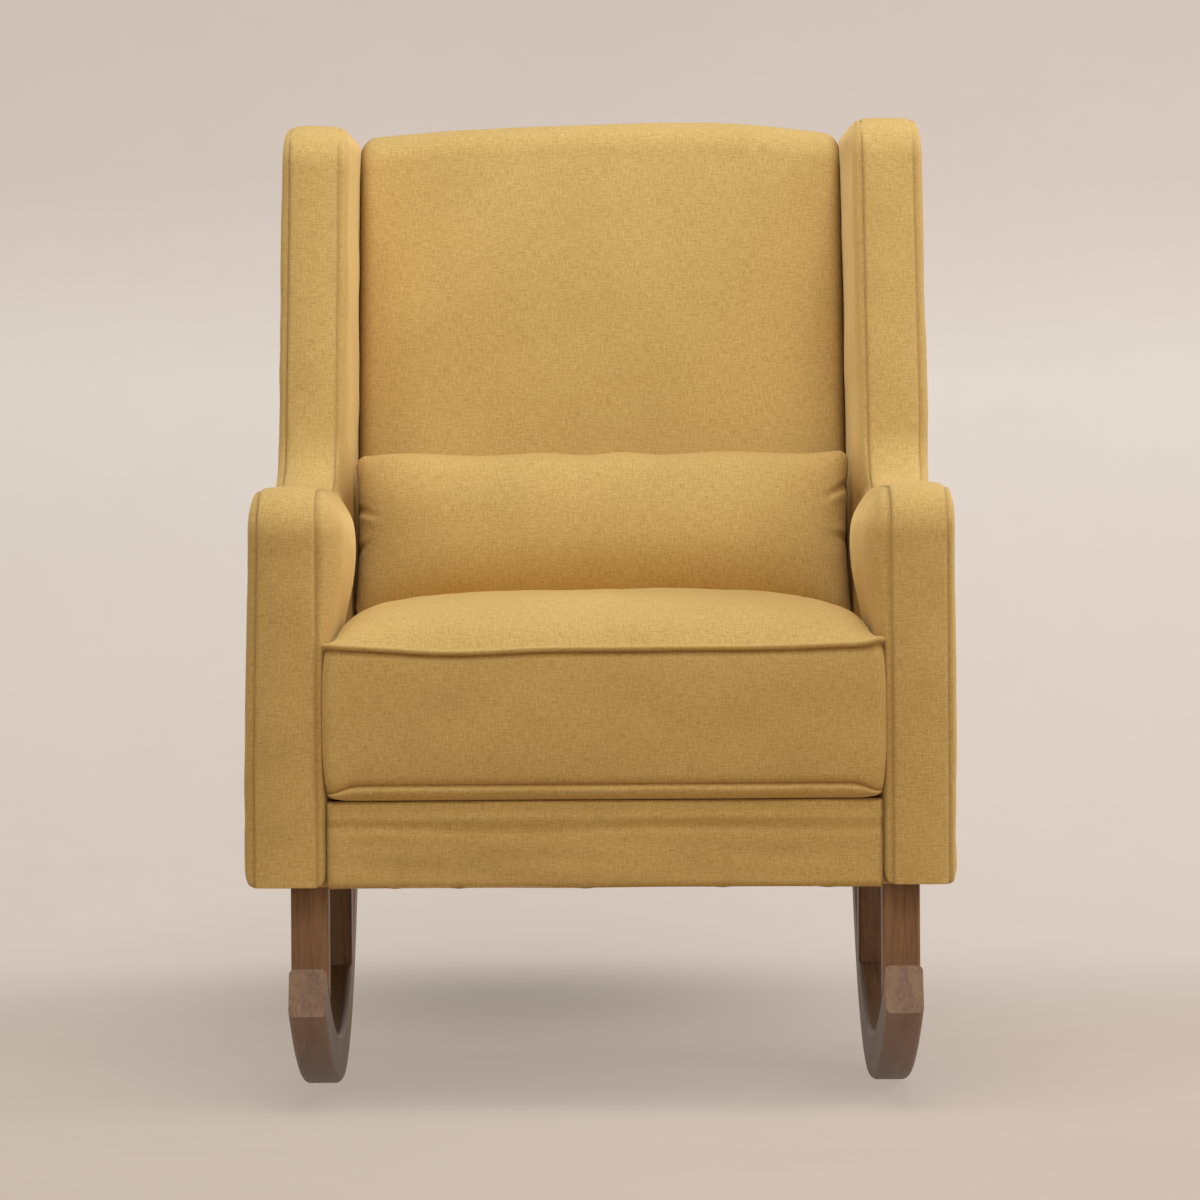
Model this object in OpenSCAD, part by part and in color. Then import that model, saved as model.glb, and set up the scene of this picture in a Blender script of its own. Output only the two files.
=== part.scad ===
// Upholstered wing rocking chair: a walnut rocker base, a wooden inner frame, padded covers,
// a loose boxed seat cushion and a loose lumbar pillow.
// +Z is up, the chair faces -Y, and the origin is on the floor under the middle of the base.
// Distances called "from the front" are measured back from the front tips of the rockers.

/* [Rocker base] */
// Reach of the rockers behind the rear of the body's underside
rocker_tail = 135; // [115:5:175]
// Setback of the rockers from the outer faces of the arms
base_in = 40; // [32:1:48]
// Thickness of a rocker across the chair
rocker_t = 38.5; // [34:0.5:44]
// Depth of a rocker from its sole to its top edge
rocker_h = 52; // [44:1:60]
// Rounding of the rocker's long edges
rocker_edge_r = 6; // [3:0.5:9]
// Radius of the sole in front of the resting point
sole_front_r = 1065; // [1000:5:1200]
// Radius of the sole behind the resting point
sole_rear_r = 560; // [540:5:640]
// Resting point, behind the middle of the body's underside
rest_back = 58.5; // [40:0.5:75]
// Setback of the front legs from the front of the arms
front_leg_in = 30; // [24:1:50]
// Setback of the rear legs from the rear of the body at its underside
rear_leg_in = 14; // [10:1:30]
// Depth of a leg from front to back
leg_l = 45; // [40:1:52]
// Rounding of the leg's upright edges
leg_edge_r = 3; // [1:0.5:6]

/* [Body] */
// Floor to the underside of the body
body_z = 229; // [215:1:245]
// Width across the outer faces of the arms at the front
body_w = 726; // [700:2:744]
// Front of the arms, from the front
arm_front_d = 40; // [30:1:50]
// Floor to the top of the arms
arm_z = 641; // [610:1:670]
// Rounding between the front and the top of an arm
arm_corner_r = 55; // [40:1:80]
// Depth of a wing, from its front edge at arm height to the rear of the body's underside
wing_l = 365; // [340:1:390]
// Lean of the wing's front edge
wing_rake = 12.4; // [8:0.2:16]
// Radius of the sweep from arm to wing
sweep_r = 78; // [60:1:100]
// Floor to the top of the wings
wing_z = 1043; // [1000:1:1090]
// Rounding of the wing's upper front corner
wing_corner_r = 60; // [45:1:80]
// Rounding of the wing's upper rear corner
rear_corner_r = 45; // [30:1:60]
// Rear of the body at its underside, behind the front of the arms
body_l = 705; // [690:1:730]
// Lean of the outside back
outside_rake = 5; // [3:0.5:7]
// Angle by which each side turns in towards the back
toe = 2.15; // [1.5:0.05:2.8]
// Angle by which each side's inner face turns in, less than its outer one
inner_toe = 0.95; // [0.8:0.05:1.6]

/* [Side covers] */
// Thickness of a side at the front of the seat
side_t = 82; // [76:1:90]
// Distance from the outer face to the boxing strip's outer seam
strip_out = 10; // [6:1:13]
// Width of the boxing strip between its seams
strip_w = 58; // [50:1:60]
// Crown of the boxing strip between its seams
strip_crown = 5; // [1:0.5:7]
// Width of the rounding from the strip's outer seam to the outer face
outer_round = 20; // [12:1:24]
// Width of the rounding from the strip's inner seam to the inner panel
inner_round = 40; // [30:1:50]
// Swell of the inner panel above the seat cushion
arm_swell = 20; // [0:1:24]
// Padding round the edge of the side frame
edge_pad = 16; // [12:1:22]

/* [Inner frame] */
// Thickness of the padding outside the side frame
outer_pad = 16; // [14:1:20]
// Thickness of the side frame
side_frame_t = 32; // [24:1:34]
// Thickness of the seat's side rails
side_rail_t = 30; // [24:1:30]
// Top of the seat rails and of the deck, from the floor
deck_z = 317; // [300:1:325]
// Front face of the front rail, behind the front of the arms
front_rail_d = 18; // [16:1:24]
// Thickness of the front and rear rails
rail_t = 25; // [20:1:30]
// Setback of the rear rail from the rear of the body at its underside
rear_rail_in = 20; // [14:1:30]
// Leg of a triangular corner block
block_l = 55; // [40:1:70]
// Width of a back post's inner face from the middle of the chair
post_in = 235; // [215:1:245]
// Thickness of the back posts and back rails
post_t = 25; // [20:1:32]

/* [Back] */
// Lean of the inside back
back_rake = 12; // [10:0.5:14]
// Depth of the back at deck height, to the rear of the body's underside
back_t = 205; // [195:1:215]
// Thickness of the inside back's padding at its edges
back_pad = 64; // [58:1:72]
// Crown of the inside back
back_crown = 30; // [10:1:40]
// Length of the inside back up its slope, at its corners
back_l = 747; // [700:1:760]
// Rise of the arched top in its middle
back_arch = 12; // [8:1:30]
// Thickness of the outside back
outside_t = 6; // [4:1:10]
// Distance of the outside back's top below the top of the wings
outside_drop = 34; // [30:1:50]
// Thickness of the back webbing
webbing_t = 3; // [2:0.5:4]
// Width of a webbing strap
webbing_w = 50; // [40:1:60]
// Number of webbing straps
webbing_n = 5; // [4:1:6]

/* [Seat] */
// Clearance between a loose cushion and what it lies against
loose = 0.6; // [0.4:0.1:1]
// Overhang of the seat cushion's front welts past the front of the arms
cushion_over = 4; // [0:1:8]
// Room between the seat cushion's rear welts and the inside back
cushion_room = 5; // [5:1:20]
// Height of the seat cushion's boxing between its welts
boxing_h = 143; // [120:1:150]
// Crown of the cushion's top above the upper welt
cushion_crown = 55; // [30:1:65]
// Bulge of the cushion's bottom below the lower welt
cushion_belly = 16; // [8:1:20]
// Bulge of the cushion's boxing beyond its welts
boxing_bulge = 4; // [2:0.5:6]
// Corner rounding of the seat cushion in plan
cushion_corner_r = 30; // [20:1:45]
// Depth of the front apron's padding
apron_t = 14; // [12:1:17]
// Number of seat springs
spring_n = 4; // [3:1:5]
// Wire diameter of the seat springs
wire_d = 3.6; // [3:0.1:4.2]
// Half width of a seat spring over its bends
spring_half = 36; // [35:1:44]

/* [Lumbar pillow] */
// Height of the pillow from seam to seam
pillow_h = 187; // [160:1:192]
// Thickness of the pillow in its middle
pillow_t = 112; // [80:1:120]
// Distance of the pillow's middle up the back's slope
pillow_up = 260; // [258:1:320]
// Draw of the pillow's sides towards its middle
pillow_draw = 9; // [4:1:14]
// Lean of the pillow
pillow_rake = 14; // [10:0.5:18]

/* [Fasteners] */
// Diameter of a wooden dowel
dowel_d = 10; // [8:1:12]
// Depth of a dowel in each of the pieces it joins
dowel_half = 24; // [18:1:28]
// Diameter of a leg bolt
bolt_d = 8; // [6:1:10]
// Depth of a leg bolt in each of the pieces it joins
bolt_half = 36; // [25:1:45]
// Clearance round a dowel or a bolt
fit = 0.15; // [0.1:0.05:0.3]

/* [Hidden] */
$fn = 64;

walnut = "#6c503a";
beech = "#c9a878";
mustard = "#bf9a55";
steel = "#a8abad";
webbing_cloth = "#4a4a48";
felt = "#d8d2c4";
cambric = "#26262a";

// Lengths that follow from the sizes above
base_w = body_w - 2 * base_in;
rocker_l = arm_front_d + body_l + rocker_tail;
rest_d = arm_front_d + body_l / 2 + rest_back;
front_leg_d = arm_front_d + front_leg_in;
rear_leg_d = arm_front_d + body_l - rear_leg_in - leg_l;
wing_d = body_l - wing_l;
back_d = body_l - back_t;
rear_rail_d = body_l - rear_rail_in - rail_t;

// Gap between a soft piece and what it lies on
lie_gap = 0.4;

// Where the layers of a side end, as depth inside its outer face
frame_in = outer_pad + side_frame_t;
rail_in = frame_in + side_rail_t;
strip_in = strip_out + strip_w;

// Half of the clear width between planes that lie a given depth inside the outer faces
function half_w(d, depth) = body_w / 2 - d * tan(toe) - depth / cos(toe);

// A side thins towards its rear, because its inner face turns in less than its outer one
function side_thick(d) = side_t - d * (tan(toe) - tan(inner_toe));

function inner_half(d) = half_w(d, side_thick(d));

// A distance behind the front of the arms as a Y coordinate
function arm_y(d) = arm_front_d + d - rocker_l / 2;

// Centres of the side's rounded corners, as distance behind the arm front and height
sweep_c = [wing_d - sweep_r * tan((90 - wing_rake) / 2), arm_z + sweep_r];
wing_c = [wing_d + (wing_z - wing_corner_r - arm_z) * tan(wing_rake)
    + wing_corner_r / cos(wing_rake), wing_z - wing_corner_r];
rear_c = [body_l + (wing_z - rear_corner_r - body_z) * tan(outside_rake)
    - rear_corner_r / cos(outside_rake), wing_z - rear_corner_r];

// Points of an arc round a centre
function arc(c, r, from, to, n) =
    [for (i = [0 : n]) c + r * [cos(from + (to - from) * i / n), sin(from + (to - from) * i / n)]];

// Outline of a side, drawn in by e along its front, top and rear
function side_outline(e) = concat(
    [[e, body_z]],
    arc([arm_corner_r, arm_z - arm_corner_r], arm_corner_r - e, 180, 90, 6),
    arc(sweep_c, sweep_r + e, -90, -wing_rake, 8),
    arc(wing_c, wing_corner_r - e, 180 - wing_rake, 90, 6),
    arc(rear_c, rear_corner_r - e, 90, -outside_rake, 6),
    [[body_l - e / cos(outside_rake), body_z]]);

// Puts a solid that is drawn for the right side, outer face at x = 0, on its side
module on_side(s) {
    mirror([s < 0 ? 1 : 0, 0, 0])
        translate([body_w / 2, arm_y(0), 0])
            rotate([0, 0, toe])
                children();
}

// Extrudes an outline of distance and height between two depths inside the outer face
module side_plate(from, to) {
    translate([-to, 0, 0])
        rotate([90, 0, 90])
            linear_extrude(to - from)
                children();
}

// The space between planes a given depth inside the two outer faces
module well(depth, d0, d1, z0, z1) {
    translate([0, 0, z0])
        linear_extrude(z1 - z0)
            polygon([
                [-half_w(d0, depth), arm_y(d0)],
                [half_w(d0, depth), arm_y(d0)],
                [half_w(d1, depth), arm_y(d1)],
                [-half_w(d1, depth), arm_y(d1)],
            ]);
}

// Puts a solid on the slope of the inside back: y = 0 is the face of its edges, z runs up it
module on_back() {
    translate([0, arm_y(back_d), deck_z])
        rotate([-back_rake, 0, 0])
            children();
}

// Side view of a point on that slope: its distance behind the arm front, and its height
function slope_d(y, z) = back_d + y * cos(back_rake) + z * sin(back_rake);

function slope_point(y, z) =
    [slope_d(y, z), deck_z + z * cos(back_rake) - y * sin(back_rake)];

// Rocker base

rocker_x = (base_w - rocker_t) / 2;
front_angle = asin(rest_d / sole_front_r);
rear_angle = asin((rocker_l - rest_d) / sole_rear_r);
front_leg_mid = front_leg_d + leg_l / 2;
rear_leg_mid = rear_leg_d + leg_l / 2;
dowel_gap = leg_l / 2;

// Height of the rocker's top edge at a distance from the front
function rocker_top(d) = let (r = d < rest_d ? sole_front_r : sole_rear_r)
    r - sqrt(pow(r - rocker_h, 2) - pow(d - rest_d, 2));

module round_bar(w, h, r) {
    translate([r, 0])
        square([h - 2 * r, w]);
    translate([0, r])
        square([h, w - 2 * r]);
    for (x = [r, h - r])
        for (y = [r, w - r])
            translate([x, y])
                circle(r);
}

// One arc of a rocker, from its resting point back to its tip
module rocker_arc(r, turn) {
    translate([-rocker_t / 2, 0, r])
        rotate([0, 90, 0])
            rotate_extrude(angle = turn, $fn = 180)
                translate([r - rocker_h, 0])
                    round_bar(rocker_t, rocker_h, rocker_edge_r);
}

module leg_mids() {
    for (d = [front_leg_mid, rear_leg_mid])
        translate([0, d - rocker_l / 2, 0])
            children();
}

// The dowels that pin the two legs of one side to its rocker
module side_dowels(r, half) {
    for (d = [front_leg_mid, rear_leg_mid])
        for (s = [-1, 1])
            translate([0, d + s * dowel_gap / 2 - rocker_l / 2,
                    rocker_top(d + s * dowel_gap / 2) - half])
                cylinder(h = 2 * half, r = r);
}

module rocker(s) {
    color(walnut)
        translate([s * rocker_x, 0, 0])
            difference() {
                translate([0, rest_d - rocker_l / 2, 0]) {
                    rocker_arc(sole_rear_r, rear_angle);
                    mirror([0, 1, 0])
                        rocker_arc(sole_front_r, front_angle);
                }
                side_dowels(dowel_d / 2 + fit, dowel_half + 1);
            }
}

module leg(s, d) {
    r = d < rest_d ? sole_front_r : sole_rear_r;
    color(walnut)
        translate([s * rocker_x, 0, 0])
            difference() {
                intersection() {
                    translate([-rocker_t / 2, d - rocker_l / 2, 0])
                        linear_extrude(body_z)
                            round_bar(leg_l, rocker_t, leg_edge_r);
                    translate([-rocker_t, rest_d - rocker_l / 2, r])
                        rotate([0, 90, 0])
                            cylinder(h = 2 * rocker_t, r = r - rocker_h, $fn = 180);
                }
                side_dowels(dowel_d / 2 + fit, dowel_half + 1);
                bolts_at_legs(bolt_d / 2 + fit, bolt_half + 1);
            }
}

// The bolts that hold the two legs of one side up to the body
module bolts_at_legs(r, half) {
    for (d = [front_leg_mid, rear_leg_mid])
        translate([0, d - rocker_l / 2, body_z - half])
            cylinder(h = 2 * half, r = r);
}

module leg_bores() {
    for (s = [-1, 1])
        translate([s * rocker_x, 0, 0])
            bolts_at_legs(bolt_d / 2 + fit, bolt_half + 1);
}

module rocker_left() rocker(-1);
module rocker_right() rocker(1);
module front_leg_left() leg(-1, front_leg_d);
module front_leg_right() leg(1, front_leg_d);
module rear_leg_left() leg(-1, rear_leg_d);
module rear_leg_right() leg(1, rear_leg_d);

module leg_dowels() {
    color(beech)
        for (s = [-1, 1])
            translate([s * rocker_x, 0, 0])
                side_dowels(dowel_d / 2, dowel_half);
}

module leg_bolts() {
    color(steel)
        for (s = [-1, 1])
            translate([s * rocker_x, 0, 0])
                bolts_at_legs(bolt_d / 2, bolt_half);
}

// Inner frame of the seat
rail_h = deck_z - body_z;
seat_front_d = front_rail_d + rail_t;
rail_dowel_z = [body_z + bolt_half + dowel_d, deck_z - dowel_d];

// The dowels that join the ends of the front and rear rails to the side frames
module rail_dowel_set(r, half) {
    for (s = [-1, 1])
        for (d = [front_rail_d + rail_t / 2, rear_rail_d + rail_t / 2])
            for (z = rail_dowel_z)
                translate([s * half_w(d, frame_in), arm_y(d), z])
                    rotate([0, 90, 0])
                        cylinder(h = 2 * half, r = r, center = true);
}

module cross_rail(d) {
    color(beech)
        difference() {
            well(frame_in, d, d + rail_t, body_z, deck_z);
            rail_dowel_set(dowel_d / 2 + fit, dowel_half + 1);
            leg_bores();
        }
}

module front_rail() cross_rail(front_rail_d);
module rear_rail() cross_rail(rear_rail_d);

module rail_dowels() {
    color(beech)
        rail_dowel_set(dowel_d / 2, dowel_half);
}

module side_rail(s) {
    color(beech)
        difference() {
            intersection() {
                on_side(s)
                    side_plate(frame_in, rail_in)
                        translate([0, body_z])
                            square([body_l, rail_h]);
                well(0, seat_front_d, rear_rail_d, body_z, deck_z);
            }
            leg_bores();
        }
}

module side_rail_left() side_rail(-1);
module side_rail_right() side_rail(1);

module corner_blocks() {
    color(beech)
        for (s = [-1, 1])
            for (end = [[seat_front_d, 1], [rear_rail_d, -1]])
                translate([0, 0, body_z])
                    linear_extrude(rail_h * 0.6)
                        polygon([
                            [s * half_w(end[0], rail_in), arm_y(end[0])],
                            [s * (half_w(end[0], rail_in) - block_l), arm_y(end[0])],
                            [s * half_w(end[0] + end[1] * block_l, rail_in),
                                arm_y(end[0] + end[1] * block_l)],
                        ]);
}

// Side frame: one panel that follows the side's outline, with an arm window and a wing window
window_edge = 52;
band_lap = 12;
arm_window_top = arm_z - edge_pad - window_edge;
wing_window_z = [arm_z, wing_z - edge_pad - window_edge];

// Front of the raked band that carries the back post, at a height
function band_d(z) = back_d + (back_pad - band_lap) / cos(back_rake)
    + (z - deck_z) * tan(back_rake);

// Front of the wing's edge at a height
function wing_line(z) = wing_d + (z - arm_z) * tan(wing_rake);

module arm_window() {
    x0 = edge_pad + window_edge;
    polygon([
        [x0, deck_z],
        [band_d(deck_z), deck_z],
        [band_d(arm_window_top), arm_window_top],
        [x0, arm_window_top],
    ]);
}

module wing_window() {
    x0 = edge_pad + window_edge;
    polygon([
        [wing_line(wing_window_z[0]) + x0, wing_window_z[0]],
        [band_d(wing_window_z[0]), wing_window_z[0]],
        [band_d(wing_window_z[1]), wing_window_z[1]],
        [wing_line(wing_window_z[1]) + x0, wing_window_z[1]],
    ]);
}

module side_frame(s) {
    color(beech)
        difference() {
            on_side(s)
                side_plate(outer_pad, frame_in)
                    difference() {
                        polygon(side_outline(edge_pad));
                        arm_window();
                        wing_window();
                    }
            rail_dowel_set(dowel_d / 2 + fit, dowel_half + 1);
            leg_bores();
        }
}

module side_frame_left() side_frame(-1);
module side_frame_right() side_frame(1);

// Back frame, drawn on the slope of the inside back
top_drop = 46;
post_y = back_pad + webbing_t;
post_end = back_l - top_drop;
top_rail_h = 70;
low_rail_h = 60;
middle_rail_z = 330;

// The part of the back's slope between the side frames and above the seat rails
module back_zone() {
    intersection() {
        on_back()
            children();
        well(frame_in, 0, body_l + arm_front_d, deck_z, wing_z);
    }
}

module back_post(s) {
    color(beech)
        back_zone()
            mirror([s < 0 ? 1 : 0, 0, 0])
                translate([post_in, post_y, -post_t])
                    cube([body_w / 2 - post_in, post_t, post_end + post_t]);
}

module back_post_left() back_post(-1);
module back_post_right() back_post(1);

module back_rail(z, h) {
    color(beech)
        on_back()
            translate([-post_in, post_y, z])
                cube([2 * post_in, post_t, h]);
}

module back_lower_rail() back_rail(post_t / 2, low_rail_h);
module back_middle_rail() back_rail(middle_rail_z, low_rail_h);

// The top rail is arched with the back
arch_half = inner_half(back_d);
arch_r = (pow(arch_half, 2) + pow(back_arch, 2)) / (2 * back_arch);

module back_top_rail() {
    color(beech)
        on_back()
            intersection() {
                translate([-post_in, post_y, post_end - top_rail_h])
                    cube([2 * post_in, post_t, top_rail_h + back_arch]);
                translate([0, 0, post_end + back_arch - arch_r])
                    rotate([-90, 0, 0])
                        cylinder(h = 2 * post_y, r = arch_r, $fn = 360);
            }
}

module back_webbing() {
    step = (post_end - webbing_w) / webbing_n;
    color(webbing_cloth)
        for (i = [0 : webbing_n - 1])
            on_back()
                translate([-post_in - post_t, back_pad, (i + 0.5) * step])
                    cube([2 * (post_in + post_t), webbing_t, webbing_w]);
}

// Seat springs, each a wire bent in even bends from one rail to the other, held in clips
spring_drop = 30;
spring_z = deck_z - spring_drop;
bend_step = 50;
clip_gap = 4;
clip_t = 1.5;
clip_w = 16;
spring_from = seat_front_d + clip_t + clip_gap;
spring_to = rear_rail_d - clip_t - clip_gap;
bend_n = 2 * round((spring_to - spring_from) / bend_step / 2);
bend_pitch = (spring_to - spring_from) / bend_n;
spring_step = 2 * (half_w(rear_rail_d, rail_in) - block_l) / spring_n;

module spring_xs() {
    for (i = [0 : spring_n - 1])
        translate([(i - (spring_n - 1) / 2) * spring_step, 0, spring_z])
            children();
}

module spring_bar(half) {
    rotate([0, 90, 0])
        cylinder(h = 2 * half, d = wire_d, center = true);
}

module seat_spring() {
    bar_half = spring_half - bend_pitch / 2;
    for (i = [0 : bend_n])
        translate([0, arm_y(spring_from + i * bend_pitch), 0])
            spring_bar(bar_half);
    for (i = [0 : bend_n - 1])
        translate([0, arm_y(spring_from + (i + 0.5) * bend_pitch), 0])
            mirror([i % 2, 0, 0])
                translate([bar_half, 0, 0])
                    rotate([0, 0, -90])
                        rotate_extrude(angle = 180)
                            translate([bend_pitch / 2, 0])
                                circle(d = wire_d);
}

module seat_springs() {
    color(steel)
        spring_xs()
            seat_spring();
}

// A clip: a plate on the rail and a hook round the end bar of the spring
module spring_clip() {
    hook_r = wire_d / 2 + fit;
    drop = clip_w / 2;
    translate([-clip_w / 2, -clip_gap - clip_t, -drop - clip_t - hook_r])
        cube([clip_w, clip_t, drop + clip_t + hook_r + wire_d / 2]);
    difference() {
        union() {
            rotate([0, 90, 0])
                cylinder(h = clip_w, r = hook_r + clip_t, center = true);
            translate([-clip_w / 2, -clip_gap - clip_t / 2, -hook_r - clip_t])
                cube([clip_w, clip_gap + clip_t / 2, clip_t]);
        }
        rotate([0, 90, 0])
            cylinder(h = 2 * clip_w, r = hook_r, center = true);
        translate([-clip_w, -clip_w, 0])
            cube([2 * clip_w, 2 * clip_w, clip_w]);
    }
}

module spring_clips() {
    color(steel)
        spring_xs() {
            translate([0, arm_y(spring_from), 0])
                spring_clip();
            translate([0, arm_y(spring_to), 0])
                mirror([0, 1, 0])
                    spring_clip();
        }
}

// Deck, dust cover, apron and outside back
deck_pad_z = spring_z + wire_d / 2 + lie_gap;

module deck_pad() {
    color(felt)
        well(rail_in, seat_front_d, back_d - loose, deck_pad_z, deck_z);
}

dust_cover_t = 1.5;

module dust_cover() {
    edge = base_w / 2 - rocker_t - loose;
    color(cambric)
        intersection() {
            well(frame_in, front_rail_d, rear_rail_d + rail_t, body_z - dust_cover_t, body_z);
            translate([-edge, -rocker_l / 2, 0])
                cube([2 * edge, rocker_l, body_z]);
        }
}

apron_drop = 2;
apron_r = 6;

module front_apron() {
    color(mustard)
        intersection() {
            translate([-body_w / 2, arm_y(front_rail_d - apron_t), body_z - apron_drop])
                rotate([90, 0, 90])
                    linear_extrude(body_w)
                        difference() {
                            square([apron_t, rail_h + apron_drop]);
                            for (z = [0, rail_h + apron_drop - apron_r])
                                translate([0, z])
                                    difference() {
                                        square(apron_r);
                                        translate([apron_r, z > 0 ? 0 : apron_r])
                                            circle(apron_r);
                                    }
                        }
            well(side_t + loose / 2, 0, front_rail_d, 0, wing_z);
        }
}

outside_top = wing_z - outside_drop;

module outside_back() {
    color(mustard)
        intersection() {
            translate([-body_w / 2, arm_y(body_l), body_z])
                rotate([-outside_rake, 0, 0])
                    translate([0, -outside_t, -rail_h])
                        cube([body_w, outside_t, wing_z]);
            well(frame_in, back_d, 2 * body_l, body_z, outside_top);
        }
}

// Soft forms: grids of points, joined by triangles
function sum2(v) = v[0] * v[0] + v[1] * v[1];

// Distance of a point from a stretch of an outline
function stretch_distance(p, a, b) =
    let (t = max(0, min(1, (p - a) * (b - a) / max(sum2(b - a), 0.001))))
    sqrt(sum2(p - a - t * (b - a)));

// Distance of a point from a closed outline
function edge_distance(p, line) =
    min([for (i = [0 : len(line) - 1]) stretch_distance(p, line[i], line[(i + 1) % len(line)])]);

// Two triangles between four points of a grid
function quad(a, b, c, d) = [[a, b, c], [a, c, d]];

// Triangles between each ring of n points and the next
function ring_faces(rings, n) = [
    for (k = [0 : rings - 2])
        for (i = [0 : n - 1])
            for (t = quad(k * n + i, (k + 1) * n + i, (k + 1) * n + (i + 1) % n,
                    k * n + (i + 1) % n))
                t];

// Side cover: ribs run across the side from its front and top edges to its rear and bottom edges,
// drawn in by e along its front, top and rear
rib_steps = [0, 3, 9, outer_round, inner_round];
rib_middles = 4;
turn_n = 8;

function arm_top(d, e) = d >= arm_corner_r ? arm_z - e
    : arm_z - arm_corner_r + sqrt(pow(arm_corner_r - e, 2) - pow(arm_corner_r - d, 2));

function wing_front(z, e) = z < wing_c[1] + (wing_corner_r - e) * sin(wing_rake)
    ? wing_line(z) + e / cos(wing_rake)
    : wing_c[0] - sqrt(max(0, pow(wing_corner_r - e, 2) - pow(z - wing_c[1], 2)));

function rear_line(z, e) = body_l + (z - body_z) * tan(outside_rake) - e / cos(outside_rake);

function wing_rear(z, e) = z < rear_c[1] - (rear_corner_r - e) * sin(outside_rake)
    ? rear_line(z, e)
    : rear_c[0] + sqrt(max(0, pow(rear_corner_r - e, 2) - pow(z - rear_c[1], 2)));

// The far ends of the ribs that turn round the sweep
function heel(t, e) = t < 0.5
    ? [sweep_c[0] + 2 * t * (rear_line(body_z, e) - sweep_c[0]), body_z]
    : let (z = body_z + (2 * t - 1) * (sweep_end_z(e) - body_z)) [rear_line(z, e), z];

function sweep_end_z(e) = sweep_c[1] - (sweep_r + e) * sin(wing_rake);

function arm_steps(e) = [for (x = concat(rib_steps,
        [for (i = [1 : 4]) inner_round + i * (sweep_c[0] - inner_round) / 4]))
    e + x * (1 - e / sweep_c[0])];

function wing_heights(e) = concat(
    [for (i = [1 : 4]) sweep_end_z(e) + i * (wing_z - e - inner_round - sweep_end_z(e)) / 5],
    [for (i = [len(rib_steps) - 1 : -1 : 0]) wing_z - e - rib_steps[i]]);

function ribs(e) = concat(
    [for (d = arm_steps(e)) [[d, arm_top(d, e)], [d, body_z]]],
    [for (k = [1 : turn_n])
        let (a = -90 + k * (90 - wing_rake) / turn_n)
        [sweep_c + (sweep_r + e) * [cos(a), sin(a)], heel(k / turn_n, e)]],
    [for (z = wing_heights(e)) [[wing_front(z, e), z], [wing_rear(z, e), z]]]);

// Distances along a rib of a given length
function rib_stations(l) = concat(rib_steps,
    [for (i = [1 : rib_middles - 1]) inner_round + i * (l - 2 * inner_round) / rib_middles],
    [for (i = [len(rib_steps) - 1 : -1 : 0]) l - rib_steps[i]]);

rib_n = 2 * len(rib_steps) + rib_middles - 1;

function rib_points(ribs) = [
    for (rib = ribs)
        let (l = norm(rib[1] - rib[0]))
        for (s = rib_stations(l))
            rib[0] + s / l * (rib[1] - rib[0])];

side_ribs = ribs(strip_crown);
side_points = rib_points(side_ribs);
side_edge = concat(
    [for (rib = side_ribs) rib[0]],
    [for (i = [len(side_ribs) - 1 : -1 : 0]) side_ribs[i][1]]);
side_depths = [for (p = side_points) edge_distance(p, side_edge)];

// Depth inside the outer face of the rounded outer side, at a distance from the edge
function outer_depth(e) = strip_out * (1 - sqrt(1 - pow(1 - min(e / outer_round, 1), 2)));

// The inner panel swells over the arm, and rounds off to the inner seam
swell_drop = 62;
swell_mid = [140, arm_z - swell_drop];
swell_reach = [230, 96];

function swell(p) = let (q = sum2([(p[0] - swell_mid[0]) / swell_reach[0],
        (p[1] - swell_mid[1]) / swell_reach[1]]))
    q < 1 ? arm_swell * pow(1 - q, 2) : 0;

// Towards the rear the strip narrows with the side, and its inner seam stays short of the panel
seam_step = 2;

function seam_in(d) = min(strip_in, side_thick(d) - seam_step);

function inner_depth(p, e) = seam_in(p[0]) + (side_thick(p[0]) + swell(p) - seam_in(p[0]))
    * sqrt(1 - pow(1 - min(e / inner_round, 1), 2));

// Points round the rim of the grid, and the boxing strip's crowned rows between its seams
side_n = len(side_points);
side_last = len(side_ribs) - 1;
side_rim = concat(
    [for (j = [rib_n - 1 : -1 : 0]) j],
    [for (i = [1 : side_last]) i * rib_n],
    [for (j = [1 : rib_n - 1]) side_last * rib_n + j],
    [for (i = [side_last - 1 : -1 : 1]) i * rib_n + rib_n - 1]);
rim_n = len(side_rim);
crown_points = rib_points(ribs(0));
strip_rows = [0.25, 0.5, 0.75];
strip_points = [
    for (t = strip_rows)
        for (i = side_rim)
            let (share = 1 - pow(2 * t - 1, 2),
                p = side_points[i] + share * (crown_points[i] - side_points[i]))
            [-strip_out - t * (seam_in(p[0]) - strip_out), p[0], p[1]]];

// Number of the point k of the rim in a row of the strip, from the outer seam to the inner one
function strip_point(row, k) = row == 0 ? side_rim[k % rim_n]
    : row > len(strip_rows) ? side_n + side_rim[k % rim_n]
    : 2 * side_n + (row - 1) * rim_n + k % rim_n;

side_faces = concat(
    [for (i = [0 : side_last - 1])
        for (j = [0 : rib_n - 2])
            let (a = i * rib_n + j)
            each concat(quad(a, a + rib_n, a + rib_n + 1, a + 1),
                quad(side_n + a, side_n + a + 1, side_n + a + rib_n + 1, side_n + a + rib_n))],
    [for (row = [0 : len(strip_rows)])
        for (k = [0 : rim_n - 1])
            each quad(strip_point(row, k), strip_point(row + 1, k), strip_point(row + 1, k + 1),
                strip_point(row, k + 1))]);

module side_form() {
    polyhedron(
        points = concat(
            [for (i = [0 : side_n - 1])
                [-outer_depth(side_depths[i]), side_points[i][0], side_points[i][1]]],
            [for (i = [0 : side_n - 1])
                [-inner_depth(side_points[i], side_depths[i]), side_points[i][0],
                    side_points[i][1]]],
            strip_points),
        faces = side_faces);
}

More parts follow.
